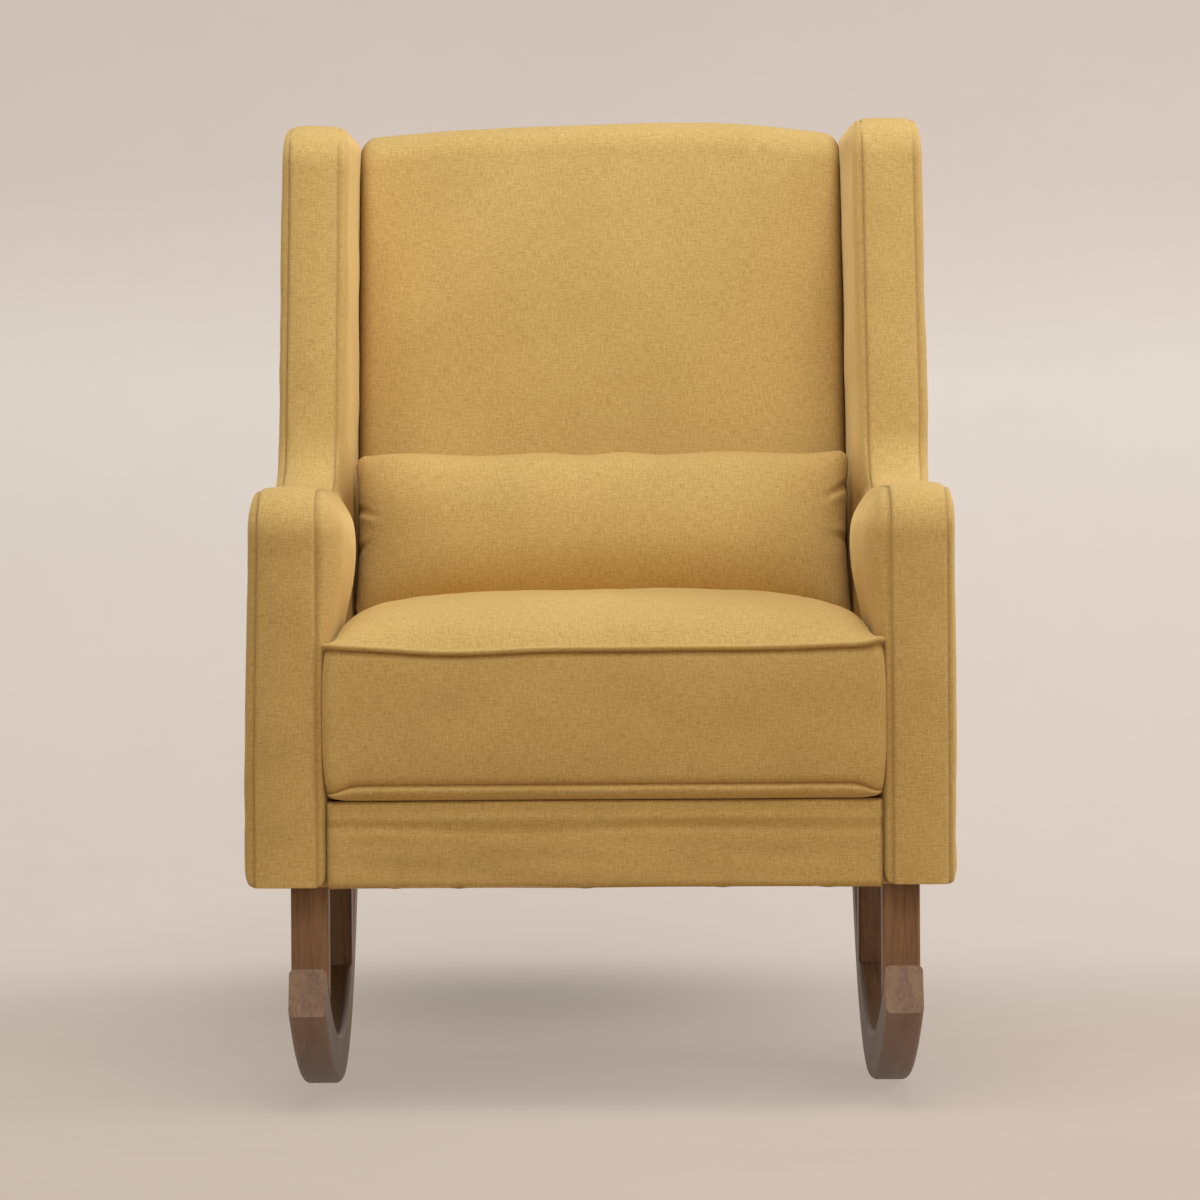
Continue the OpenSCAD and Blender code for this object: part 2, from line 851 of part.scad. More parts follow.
// Side view of the room that the cover leaves for the seat, the back frame and the outside back
function frame_room() = let (
        far = 2 * body_l,
        post_rear = slope_point(post_y + post_t, post_end),
        panel_d = rear_line(post_rear[1], 0) - (outside_t + lie_gap) / cos(outside_rake),
        panel_top_d = rear_line(outside_top, 0) - (outside_t + lie_gap) / cos(outside_rake))
    [[front_rail_d, body_z - edge_pad], [front_rail_d, deck_z],
        [back_d + back_pad / cos(back_rake), deck_z],
        slope_point(back_pad, post_end), post_rear, [panel_d, post_rear[1]],
        [panel_top_d, outside_top], [far, outside_top], [far, body_z - edge_pad]];

// The cover is a padded shell: the frame fills it, and it is open below the deck and behind the back
module side_cover(s) {
    color(mustard)
        difference() {
            on_side(s)
                difference() {
                    side_form();
                    side_plate(outer_pad, frame_in)
                        union() {
                            polygon(side_outline(edge_pad));
                            translate([edge_pad, body_z - edge_pad])
                                square([body_l - 2 * edge_pad, 2 * edge_pad]);
                        }
                }
            intersection() {
                on_side(s)
                    side_plate(frame_in, 2 * side_t)
                        square([2 * body_l, 2 * wing_z]);
                translate([-body_w / 2, arm_y(0), 0])
                    rotate([90, 0, 90])
                        linear_extrude(body_w)
                            polygon(frame_room());
            }
        }
}

module side_cover_left() side_cover(-1);
module side_cover_right() side_cover(1);

// Inside back: sections across the chair, each an upright pad with a lip over the top rail
back_top_r = 46;
lip_r = 8;
lip_gap = 2;

// The foot of the pad is cut level, and sits on the side rails
foot_z = back_pad * tan(back_rake);

// The face of the outside back on the back's slope
function outside_face(z) = let (k = tan(outside_rake))
    (body_l - outside_t / cos(outside_rake) - back_d + (deck_z - body_z) * k
        + z * (k * cos(back_rake) - sin(back_rake))) / (cos(back_rake) + k * sin(back_rake));

// Crown of the inside back at a share of its half width and a height
function back_bulge(u, z) = back_crown * (1 - pow(u, 4))
    * pow(max(0, sin(180 * pow(min(z / back_l, 1), 0.85))), 0.7);

function back_section(u) =
    let (rise = back_arch * (1 - pow(u, 2)),
        top = back_l + rise,
        lip_z = post_end + lip_gap + rise,
        crown_y = outside_face(top - lip_r) - lie_gap,
        lip_y = outside_face(lip_z) - lie_gap)
    concat(
        [for (i = [0 : 9]) let (z = (top - back_top_r) * i / 9) [-back_bulge(u, z), z]],
        [for (i = [1 : 6]) let (a = 180 - 15 * i, y0 = -back_bulge(u, top - back_top_r))
            [y0 + back_top_r * (1 + cos(a)), top - back_top_r * (1 - sin(a))]],
        [[crown_y - lip_r, top], [crown_y, top - lip_r], [lip_y, lip_z], [back_pad, lip_z],
            [back_pad, foot_z]]);

back_stations = [-1, -0.97, -0.9, -0.78, -0.6, -0.4, -0.2, 0, 0.2, 0.4, 0.6, 0.78, 0.9, 0.97, 1];
back_section_n = len(back_section(0));

function back_row(u) = [
    for (p = back_section(abs(u)))
        [u * (inner_half(slope_d(p[0], p[1])) - loose / 2), p[0], p[1]]];

module inside_back() {
    n = back_section_n;
    last = (len(back_stations) - 1) * n;
    pad_cap = concat([for (i = [0 : 15]) i], [n - 2, n - 1]);
    lip_cap = [15, 16, 17, 18, n - 2];
    color(mustard)
        on_back()
            polyhedron(
                points = [for (u = back_stations) each back_row(u)],
                faces = concat(
                    ring_faces(len(back_stations), n),
                    [pad_cap, lip_cap],
                    [[for (i = [len(pad_cap) - 1 : -1 : 0]) last + pad_cap[i]],
                        [for (i = [len(lip_cap) - 1 : -1 : 0]) last + lip_cap[i]]]));
}

// Rounded outline of 40 points with half sizes of 1, from its corner rounding as a share
function unit_outline(rx, ry) = [
    for (k = [0 : 3])
        let (sx = [1, -1, -1, 1][k], sy = [1, 1, -1, -1][k])
        each concat(
            [for (i = [0 : 4])
                let (a = 90 * k + 22.5 * i)
                [sx * (1 - rx) + rx * cos(a), sy * (1 - ry) + ry * sin(a)]],
            [for (i = [1 : 5])
                let (t = 1 - i / 3)
                k % 2 == 0 ? [sx * t * (1 - rx), sy] : [sx, sy * t * (1 - ry)]])];

outline_n = 40;

// Seat cushion: rings from the middle of its bottom to the middle of its top
cushion_l = back_d - cushion_room + cushion_over;
cushion_mid = (back_d - cushion_room - cushion_over) / 2;
cushion_z = deck_z + lie_gap + cushion_belly;
belly_rings = [0.08, 0.38, 0.7, 0.9, 0.97];
crown_rings = [0.97, 0.92, 0.84, 0.72, 0.56, 0.38, 0.22, 0.08];

// A point of the cushion's plan at a share of its size, let out by a bulge
function cushion_point(p, f, out) =
    let (d = cushion_mid + f * p[1] * (cushion_l / 2 + out),
        half = inner_half(d) - loose - boxing_bulge + out)
    [f * p[0] * half, arm_y(d)];

// The top is plump to its sides and front, and falls away to the rear
function crown_share(p, f) = pow(max(0, 1 - pow(abs(f * p[0]), 3.5)), 0.35)
    * (1 - pow(abs(f * p[1]), p[1] < 0 ? 5 : 2.4));

// The belly is nearly flat, and rolls up to its seam
belly_dish = 0.06;

function belly_share(p, f) = (1 - belly_dish * pow(f, 2))
    * sqrt(max(0, 1 - pow(abs(f * p[0]), 16))) * sqrt(max(0, 1 - pow(abs(f * p[1]), 16)));

function cushion_ring(f, z, out, crown, belly = 0) = [
    for (p = unit_outline(2 * cushion_corner_r / body_w, 2 * cushion_corner_r / cushion_l))
        let (q = cushion_point(p, f, out))
        [q[0], q[1], z + crown * crown_share(p, f) - belly * belly_share(p, f)]];

// Middle of a ring of points
function mid_of(ring) = [for (p = ring) 1] * ring / len(ring);

// Closed form of rings, each end capped by triangles round its middle
module closed_rings(rings) {
    n = len(rings[0]);
    last = (len(rings) - 1) * n;
    ends = len(rings) * n;
    polyhedron(
        points = concat(
            [for (ring = rings) each ring],
            [mid_of(rings[0]), mid_of(rings[len(rings) - 1])]),
        faces = concat(
            ring_faces(len(rings), n),
            [for (i = [0 : n - 1]) [ends, i, (i + 1) % n]],
            [for (i = [0 : n - 1]) [ends + 1, last + (i + 1) % n, last + i]]));
}

module seat_cushion() {
    top = cushion_z + boxing_h;
    color(mustard)
        closed_rings(concat(
            [for (f = belly_rings) cushion_ring(f, cushion_z, 0, 0, cushion_belly)],
            [cushion_ring(1, cushion_z, 0, 0)],
            [cushion_ring(1, cushion_z + boxing_h * 0.2, boxing_bulge * 0.8, 0)],
            [cushion_ring(1, cushion_z + boxing_h * 0.5, boxing_bulge, 0)],
            [cushion_ring(1, cushion_z + boxing_h * 0.8, boxing_bulge * 0.8, 0)],
            [cushion_ring(1, top, 0, 0)],
            [for (f = crown_rings) cushion_ring(f, top, 0, cushion_crown)]));
}

// Lumbar pillow: two puffed faces that meet in a seam
pillow_rings = [1, 0.985, 0.94, 0.86, 0.74, 0.58, 0.4, 0.22, 0.08];
pillow_gap = 0.4;
pillow_side = 2.4;
pillow_y = -back_bulge(0, pillow_up) - pillow_t / 2 - pillow_gap;
pillow_half = inner_half(slope_d(pillow_y, pillow_up)) - pillow_side;

// Half thickness of the pillow at a point of its outline, scaled in
function puff(p, f) = pillow_t / 2 * pow(max(0, 1 - pow(abs(f * p[0]), 4)), 0.6)
    * pow(max(0, 1 - pow(abs(f * p[1]), 2.4)), 0.6);

function pillow_ring(f, side) = [
    for (p = unit_outline(0.09, 0.26))
        let (draw_x = 1 - pillow_draw / pillow_half * (1 - pow(abs(p[1]), 2)) * f,
            draw_z = 1 - pillow_draw / 2 / pillow_h * (1 - pow(abs(p[0]), 2)) * f)
        [f * p[0] * pillow_half * draw_x, side * puff(p, f) * (f < 1 ? 1 : 0),
            f * p[1] * pillow_h / 2 * draw_z]];

module lumbar_pillow() {
    n = len(pillow_rings);
    color(mustard)
        on_back()
            translate([0, pillow_y, pillow_up])
                rotate([back_rake - pillow_rake, 0, 0])
                    closed_rings(concat(
                        [for (i = [n - 1 : -1 : 1]) pillow_ring(pillow_rings[i], -1)],
                        [pillow_ring(1, 0)],
                        [for (i = [1 : n - 1]) pillow_ring(pillow_rings[i], 1)]));
}

rocker_left();
rocker_right();
front_leg_left();
front_leg_right();
rear_leg_left();
rear_leg_right();
leg_dowels();
leg_bolts();
front_rail();
rear_rail();
side_rail_left();
side_rail_right();
corner_blocks();
rail_dowels();
side_frame_left();
side_frame_right();
back_post_left();
back_post_right();
back_top_rail();
back_middle_rail();
back_lower_rail();
back_webbing();
seat_springs();
spring_clips();
deck_pad();
dust_cover();
front_apron();
side_cover_left();
side_cover_right();
inside_back();
outside_back();
seat_cushion();
lumbar_pillow();
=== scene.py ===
import math

import bmesh
import bpy
import numpy as np
from mathutils import Matrix, Vector


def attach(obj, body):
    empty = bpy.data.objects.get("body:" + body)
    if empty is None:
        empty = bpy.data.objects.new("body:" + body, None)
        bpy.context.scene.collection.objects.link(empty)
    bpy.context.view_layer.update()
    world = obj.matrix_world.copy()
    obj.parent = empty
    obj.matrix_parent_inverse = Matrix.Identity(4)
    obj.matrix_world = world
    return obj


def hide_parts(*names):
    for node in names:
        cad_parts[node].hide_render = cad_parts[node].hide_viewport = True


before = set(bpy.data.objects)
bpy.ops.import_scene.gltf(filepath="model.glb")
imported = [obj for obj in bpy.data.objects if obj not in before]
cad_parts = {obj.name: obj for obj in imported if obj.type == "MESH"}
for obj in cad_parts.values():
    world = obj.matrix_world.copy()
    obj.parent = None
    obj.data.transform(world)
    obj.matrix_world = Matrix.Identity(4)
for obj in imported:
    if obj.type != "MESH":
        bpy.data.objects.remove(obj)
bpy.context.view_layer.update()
print("the packed frame is in")


# Helpers for forms

def ripple(points, size, seed):
    # smooth waves in mixed directions, between about -1 and 1
    rng = np.random.default_rng(seed)
    total = np.zeros(len(points))
    for turn in range(7):
        way = rng.normal(size=3)
        way *= (0.6 + 0.9 * rng.random()) / np.linalg.norm(way)
        total += np.sin(points @ way * 2 * math.pi / size + rng.random() * 6.28)
    return total / 3.2


def unevenness(points, waves, seed):
    # each wave has its height and its length
    return sum(height * ripple(points, length, seed + turn)
               for turn, (height, length) in enumerate(waves))


def bump(x, mid, reach):
    return np.exp(-((x - mid) / reach) ** 2)


def fade(x, start, span):
    # 0 before the start and 1 a span beyond it; a negative span runs down the scale
    return np.clip((x - start) / span, 0, 1)


def quarter(share):
    # the drop of a quarter round, 0 at its crest and 1 at its foot
    return 1 - np.sqrt(1 - share ** 2)


def closer(x, power):
    # from -1 to 1, with closer rows towards both ends
    return np.sign(x) * (1 - (1 - np.abs(x)) ** power)


def easedIn(k):
    return 0.5 - 0.5 * np.cos(math.pi * k)


def inBand(k):
    # on the band between the two leaves
    return (k > 1e-4) & (k < 1 - 1e-4)


def rounded(a, b, rx, ry):
    # a square's points, with its corners rounded, and how far out from the middle each one is
    reach = np.maximum(np.maximum(np.abs(a), np.abs(b)), 1e-6)
    pa, pb = np.abs(a) / reach, np.abs(b) / reach
    ca, cb = (pa - (1 - rx)) / rx, (pb - (1 - ry)) / ry
    inCorner = (ca > 0) & (cb > 0)
    eighth = math.pi / 4
    turn = np.where(ca >= cb, np.clip(cb, 0, 1) * eighth, 2 * eighth - np.clip(ca, 0, 1) * eighth)
    pa = np.where(inCorner, 1 - rx + rx * np.cos(turn), pa)
    pb = np.where(inCorner, 1 - ry + ry * np.sin(turn), pb)
    return np.sign(a) * pa, np.sign(b) * pb, np.where(reach > 1e-5, reach, 0)


# Helpers for making pieces

def leaves(across, along):
    # two grids over the unit square, a unit apart
    bm = bmesh.new()
    for height in (0, 1):
        bmesh.ops.create_grid(bm, x_segments=across, y_segments=along, size=0.5,
                              matrix=Matrix.Translation((0.5, 0.5, height)))
    return bm


def twoLeaves(form):
    # two leaves joined round their edges by a band
    bm = leaves(form["across"], form["along"])
    rims = [e for e in bm.edges if e.is_boundary]
    bmesh.ops.bridge_loops(bm, edges=rims)
    ties = [e for e in bm.edges if abs(e.verts[0].co.z - e.verts[1].co.z) > 0.5]
    bmesh.ops.subdivide_edges(bm, edges=ties, cuts=form["cuts"])
    return bm


def warp(bm, place):
    # puts each point in its place, and gives back how much painted shade it takes, at seams and in
    # crevices
    verts = list(bm.verts)
    spots, seam = place(np.array([v.co[:] for v in verts]))
    for v, spot in zip(verts, spots):
        v.co = spot
    return seam


def placed(name, mesh, material):
    for face in mesh.polygons:
        face.use_smooth = True
    mesh.materials.clear()
    mesh.materials.append(material)
    piece = bpy.data.objects.new(name, mesh)
    bpy.context.scene.collection.objects.link(piece)
    return piece


def pieceFrom(name, bm, body, slotName, hides, seam):
    bmesh.ops.recalc_face_normals(bm, faces=bm.faces)
    mesh = bpy.data.meshes.new(name)
    bm.to_mesh(mesh)
    bm.free()
    if seam is not None:
        # how much painted shade each point takes, along seams and in crevices, from 0 to 1
        mesh.attributes.new("seam", "FLOAT", "POINT").data.foreach_set("value", seam)
    piece = placed(name, mesh, finishes[slotName])
    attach(piece, body)
    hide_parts(*hides)
    return piece


def clothPiece(name, form, place, node, body="chair"):
    bm = twoLeaves(form)
    seam = warp(bm, place)
    return pieceFrom(name, bm, body, "upholstery", [node], seam)


def cordAround(name, points, radius, body, slotName):
    line = bpy.data.curves.new(name + "Line", "CURVE")
    line.dimensions = "3D"
    line.bevel_depth = radius
    line.bevel_resolution = 3
    spline = line.splines.new("POLY")
    spline.points.add(len(points) - 1)
    for dot, spot in zip(spline.points, points):
        dot.co = (*spot, 1)
    spline.use_cyclic_u = True
    drawn = bpy.data.objects.new(name + "Line", line)
    mesh = bpy.data.meshes.new_from_object(drawn)
    bpy.data.objects.remove(drawn)
    mesh.name = name
    piece = placed(name, mesh, finishes[slotName])
    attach(piece, body)


# Camera

camera = {
    "place": (-0.0035, -6.94, 0.5625), "pitch": -0.358, "roll": -0.38,
    "lens": 192.08, "sensor": 36, "far": 60,
}


def makeCamera():
    lens = bpy.data.cameras.new("photoCamera")
    lens.lens = camera["lens"]
    lens.sensor_width = camera["sensor"]
    lens.clip_end = camera["far"]
    eye = bpy.data.objects.new("photoCamera", lens)
    eye.matrix_world = (
        Matrix.Translation(camera["place"])
        @ Matrix.Rotation(math.radians(90 + camera["pitch"]), 4, "X")
        @ Matrix.Rotation(math.radians(camera["roll"]), 4, "Z"))
    bpy.context.scene.collection.objects.link(eye)
    bpy.context.scene.camera = eye


makeCamera()
print("camera is set")


# Materials

def linear(red, green, blue):
    # a screen colour in linear light
    return tuple((c / 255 / 12.92 if c <= 10 else ((c / 255 + 0.055) / 1.055) ** 2.4)
                 for c in (red, green, blue)) + (1.0,)


white = (1.0, 1.0, 1.0, 1)


class Nodes:
    # a node tree with short words for its nodes and links

    def __init__(self, tree):
        self.nodes, self.links = tree.nodes, tree.links

    def feed(self, node, sockets):
        # each socket takes a value, or what comes out of another node
        for key, value in sockets.items():
            if isinstance(value, bpy.types.NodeSocket):
                self.links.new(value, node.inputs[key])
            else:
                node.inputs[key].default_value = value

    def add(self, kind, sockets, **settings):
        node = self.nodes.new(kind)
        for key, value in settings.items():
            setattr(node, key, value)
        self.feed(node, sockets)
        return node.outputs

    def mixedShader(self, amount, first, second):
        return self.add("ShaderNodeMixShader", {0: amount, 1: first, 2: second})[0]


class Paint(Nodes):
    # a material

    def __init__(self, name, roughness, specular):
        self.material = bpy.data.materials.new(name)
        self.material.use_nodes = True
        super().__init__(self.material.node_tree)
        self.shader = self.nodes["Principled BSDF"]
        self.feed(self.shader, {"Roughness": roughness, "Specular IOR Level": specular})
        self.place = self.add("ShaderNodeTexCoord", {})["Object"]

    def split(self, source):
        return self.add("ShaderNodeSeparateXYZ", {0: source})

    def combined(self, *parts):
        return self.add("ShaderNodeCombineXYZ", dict(enumerate(parts)))[0]

    def mapped(self, source, scale):
        return self.add("ShaderNodeMapping", {"Vector": source, "Scale": scale})["Vector"]

    def grain(self, source, scale, detail=2.0, rough=0.5, twist=0.0):
        return self.add("ShaderNodeTexNoise", {
            "Vector": source, "Scale": scale, "Detail": detail, "Roughness": rough,
            "Distortion": twist})["Fac"]

    def math(self, kind, *terms):
        return self.add("ShaderNodeMath", dict(enumerate(terms)), operation=kind)[0]

    def shares(self, first, share, second, otherShare):
        return self.math("ADD", self.math("MULTIPLY", first, share),
                         self.math("MULTIPLY", second, otherShare))

    def ramp(self, source, *stops):
        node = self.nodes.new("ShaderNodeValToRGB")
        marks = node.color_ramp.elements
        marks[0].position, marks[0].color = stops[0]
        marks[1].position, marks[1].color = stops[-1]
        for spot, colour in stops[1:-1]:
            marks.new(spot).color = colour
        self.feed(node, {"Fac": source})
        return node.outputs["Color"]

    def multiplied(self, first, second, amount=1.0):
        return self.add("ShaderNodeMix", {0: amount, 6: first, 7: second},
                        data_type="RGBA", blend_type="MULTIPLY")[2]

    def relief(self, height, distance, strength):
        return self.add("ShaderNodeBump", {
            "Height": height, "Distance": distance, "Strength": strength})["Normal"]

    def finish(self, colour, normal=None, rough=None):
        looks = {"Base Color": colour, "Normal": normal, "Roughness": rough}
        self.feed(self.shader, {key: look for key, look in looks.items() if look is not None})
        return self.material


mustard = {
    "base": linear(205, 168, 102), "dark": linear(176, 138, 74), "light": linear(224, 192, 132),
    # the tint of the painted shade at seams and in crevices
    "seam": (0.56, 0.47, 0.36, 1),
    "thread": 0.00085,      # spacing of the yarns
    "slub": 0.0065,         # length of the thick places in a yarn
    "turned": 0.68,         # how squarely a face must look aside or up for its own pair of axes
    "fleck": 420, "fleckShare": 0.38,
    "patch": 9.0, "patchTint": (0.93, 0.92, 0.90, 1),
    "relief": 0.00018, "rough": 0.92,
    "sheen": 0.8, "sheenRough": 0.5, "sheenTint": linear(240, 208, 146),
}


def weave(name, cloth):
    paint = Paint(name, roughness=cloth["rough"], specular=0.18)
    # the yarns run up and across on whichever side faces out
    facing = paint.split(paint.add("ShaderNodeNewGeometry", {})["Normal"])
    place = paint.split(paint.place)

    def chosen(usual, axis):
        turned = paint.math("GREATER_THAN", paint.math("ABSOLUTE", facing[axis]), cloth["turned"])
        return paint.add("ShaderNodeMix", {0: turned, 2: usual, 3: place[1]},
                         data_type="FLOAT")[0]

    across, up = chosen(place[0], 0), chosen(place[2], 2)
    flat = paint.combined(across, up)
    yarn, slub, fleck = 1 / cloth["thread"], 1 / cloth["slub"], cloth["fleck"]
    warpYarn = paint.grain(paint.mapped(flat, (yarn, slub, 1)), 0.55, 2.0, 0.6)
    weftYarn = paint.grain(paint.mapped(flat, (slub, yarn, 1)), 0.55, 2.0, 0.6)
    flecks = paint.grain(paint.mapped(flat, (fleck, fleck, 1)), 1.0, 3.0, 0.65)
    tone = paint.shares(warpYarn, 0.5, weftYarn, 0.5)
    tone = paint.shares(tone, 1 - cloth["fleckShare"], flecks, cloth["fleckShare"])
    colour = paint.ramp(tone, (0.30, cloth["dark"]), (0.50, cloth["base"]), (0.70, cloth["light"]))
    patches = paint.grain(paint.place, cloth["patch"], 3.0, 0.5)
    colour = paint.multiplied(colour, paint.ramp(patches, (0.3, cloth["patchTint"]), (0.7, white)))
    # painted shade: darker along the seams and in the creases and hollows between pieces, with less
    # sheen there
    seam = paint.add("ShaderNodeAttribute", {}, attribute_name="seam")["Fac"]
    colour = paint.multiplied(colour, paint.ramp(seam, (0.0, white), (1.0, cloth["seam"])))
    paint.feed(paint.shader, {
        "Sheen Weight": paint.math("MULTIPLY_ADD", seam, -cloth["sheen"], cloth["sheen"]),
        "Sheen Roughness": cloth["sheenRough"], "Sheen Tint": cloth["sheenTint"]})
    # over and under crossings of a plain weave
    half = math.pi / cloth["thread"]
    crossing = paint.math("MULTIPLY", paint.math("SINE", paint.math("MULTIPLY", across, half)),
                          paint.math("SINE", paint.math("MULTIPLY", up, half)))
    over = paint.math("MULTIPLY_ADD", crossing, 0.5, 0.5)
    height = paint.shares(over, 0.5, tone, 0.9)
    return paint.finish(colour, paint.relief(height, cloth["relief"], 0.7))


# the rockers' soles are two arcs that meet at the foot, and their rings are drawn out across
rockerBend = {"foot": 0.011, "frontRadius": 1.065, "rearRadius": 0.560, "across": 0.4}


def bentPlace(paint, bend):
    # a place across the rocker, along it, and in from its sole
    place = paint.split(paint.place)
    rear = paint.math("GREATER_THAN", place[1], bend["foot"])
    radius = paint.math("MULTIPLY_ADD", rear, bend["rearRadius"] - bend["frontRadius"],
                        bend["frontRadius"])
    along = paint.math("SUBTRACT", place[1], bend["foot"])
    up = paint.math("SUBTRACT", place[2], radius)
    out = paint.math("SQRT", paint.math("ADD", paint.math("MULTIPLY", along, along),
                                        paint.math("MULTIPLY", up, up)))
    depth = paint.math("MULTIPLY", paint.math("SUBTRACT", radius, out), bend["across"])
    return paint.combined(place[0], along, depth)


wood = {
    "fibre": 420, "band": 60, "pore": 1100,      # how fine each kind of mark is
    "fibreLength": 0.07, "poreLength": 0.025,    # the scale of each one along the wood
    "poreTint": (0.62, 0.58, 0.55, 1), "poreShare": 0.6,
    "relief": 0.00025, "specular": 0.35,
}


def timber(name, tones, along, roughness=0.45, fine=1.0, bend=None):
    # long fibres that run along one axis, with pores and slow bands of colour
    paint = Paint(name, roughness=roughness, specular=wood["specular"])
    where = bentPlace(paint, bend) if bend else paint.place

    def drawn(length):
        return paint.mapped(where, tuple(length if axis == along else 1.0 for axis in "xyz"))

    fibres = paint.grain(drawn(wood["fibreLength"]), wood["fibre"] * fine, 4.0, 0.6, 0.15)
    bands = paint.grain(drawn(wood["fibreLength"]), wood["band"] * fine, 3.0, 0.55, 0.9)
    pores = paint.grain(drawn(wood["poreLength"]), wood["pore"] * fine, 1.0, 0.5)
    tone = paint.shares(fibres, 0.5, bands, 0.5)
    colour = paint.ramp(tone, *zip((0.34, 0.50, 0.66), tones))
    pits = paint.ramp(pores, (0.30, wood["poreTint"]), (0.42, white))
    colour = paint.multiplied(colour, pits, wood["poreShare"])
    normal = paint.relief(paint.shares(pores, 0.6, fibres, 0.4), wood["relief"], 0.5)
    rough = paint.math("MULTIPLY_ADD", fibres, 0.22, roughness - 0.11)
    return paint.finish(colour, normal, rough)


def steel(name, colour, roughness):
    paint = Paint(name, roughness=roughness, specular=0.5)
    paint.feed(paint.shader, {"Metallic": 1.0})
    drawn = paint.grain(paint.mapped(paint.place, (1.0, 0.08, 1.0)), 700, 2.0, 0.5)
    darker = tuple(c * 0.8 for c in colour[:3]) + (1,)
    return paint.finish(paint.ramp(drawn, (0.3, darker), (0.7, colour)),
                        paint.relief(drawn, 0.00005, 0.4),
                        paint.math("MULTIPLY_ADD", drawn, 0.2, roughness - 0.1))


strap = {
    "rib": 0.0024, "weft": 0.0018,       # spacing of the ribs and of the yarns across them
    "dark": linear(66, 58, 48), "mid": linear(118, 104, 84), "light": linear(150, 134, 108),
}


def strapping(name):
    # elastic webbing with ribs along the strap
    paint = Paint(name, roughness=0.85, specular=0.2)
    fuzz = paint.grain(paint.place, 900, 1.0, 0.5)
    place = paint.split(paint.place)
    ribs = paint.math("SINE", paint.math("MULTIPLY", place[2], 2 * math.pi / strap["rib"]))
    weft = paint.math("SINE", paint.math("MULTIPLY", place[0], 2 * math.pi / strap["weft"]))
    height = paint.shares(ribs, 0.35, weft, 0.15)
    tone = paint.math("ADD", paint.math("MULTIPLY_ADD", height, 0.4, 0.25),
                      paint.math("MULTIPLY", fuzz, 0.5))
    colour = paint.ramp(tone, (0.25, strap["dark"]), (0.55, strap["mid"]), (0.8, strap["light"]))
    return paint.finish(colour, paint.relief(height, 0.0004, 0.8))


def felt(name, dark, light, size, relief):
    paint = Paint(name, roughness=0.95, specular=0.12)
    hairs = paint.grain(paint.mapped(paint.place, (1, 1, 0.5)), size, 5.0, 0.7, 0.6)
    clumps = paint.grain(paint.place, size / 9, 3.0, 0.5)
    tone = paint.shares(hairs, 0.6, clumps, 0.4)
    return paint.finish(paint.ramp(tone, (0.35, dark), (0.65, light)),
                        paint.relief(hairs, relief, 0.8))


# the legs' walnut is painted lighter than the rockers', to make up for the shade under the seat
legTonesLightened = linear(122, 85, 58), linear(146, 108, 78), linear(162, 123, 91)
rockerTones = linear(100, 68, 45), linear(128, 93, 65), linear(148, 112, 82)
pineTones = linear(176, 138, 92), linear(206, 172, 124), linear(224, 194, 148)
beechTones = linear(186, 150, 108), linear(212, 180, 138), linear(226, 198, 158)

finishes = {
    "upholstery": weave("mustardWeave", mustard),
    "walnutLeg": timber("walnutLeg", legTonesLightened, "z"),
    "walnutRocker": timber("walnutRocker", rockerTones, "y", bend=rockerBend),
    "frameWood": timber("pineFrame", pineTones, "z", 0.62, 0.6),
    "frameRail": timber("pineRail", pineTones, "x", 0.62, 0.6),
    "dowel": timber("beechDowel", beechTones, "z", 0.6, 0.8),
    "bolt": steel("zincBolt", (0.52, 0.52, 0.50, 1), 0.38),
    "spring": steel("springWire", (0.30, 0.31, 0.33, 1), 0.42),
    "webbing": strapping("backWebbing"),
    "felt": felt("deckFelt", linear(150, 142, 128), linear(204, 196, 182), 420, 0.0006),
    "cambric": felt("blackCambric", linear(22, 22, 23), linear(48, 48, 50), 1300, 0.0002),
}

nodesOf = {
    "walnutRocker": ("rocker",), "walnutLeg": ("front_leg", "rear_leg"),
    "dowel": ("leg_dowels", "rail_dowels"), "bolt": ("leg_bolts", "spring_clips"),
    "frameRail": ("front_rail", "rear_rail", "side_rail",
                  "back_top_rail", "back_middle_rail", "back_lower_rail"),
    "frameWood": ("corner_blocks", "side_frame", "back_post"),
    "webbing": ("back_webbing",), "spring": ("seat_springs",),
    "felt": ("deck_pad",), "cambric": ("dust_cover",),
}

for nodeName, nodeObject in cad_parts.items():
    fitting = (finish for finish, starts in nodesOf.items() if nodeName.startswith(starts))
    nodeObject.data.materials.clear()
    nodeObject.data.materials.append(finishes[next(fitting, "upholstery")])
print("materials are on the frame's own parts")


# Side covers: the arm and the wing in one slab, with a crowned strip between two seams

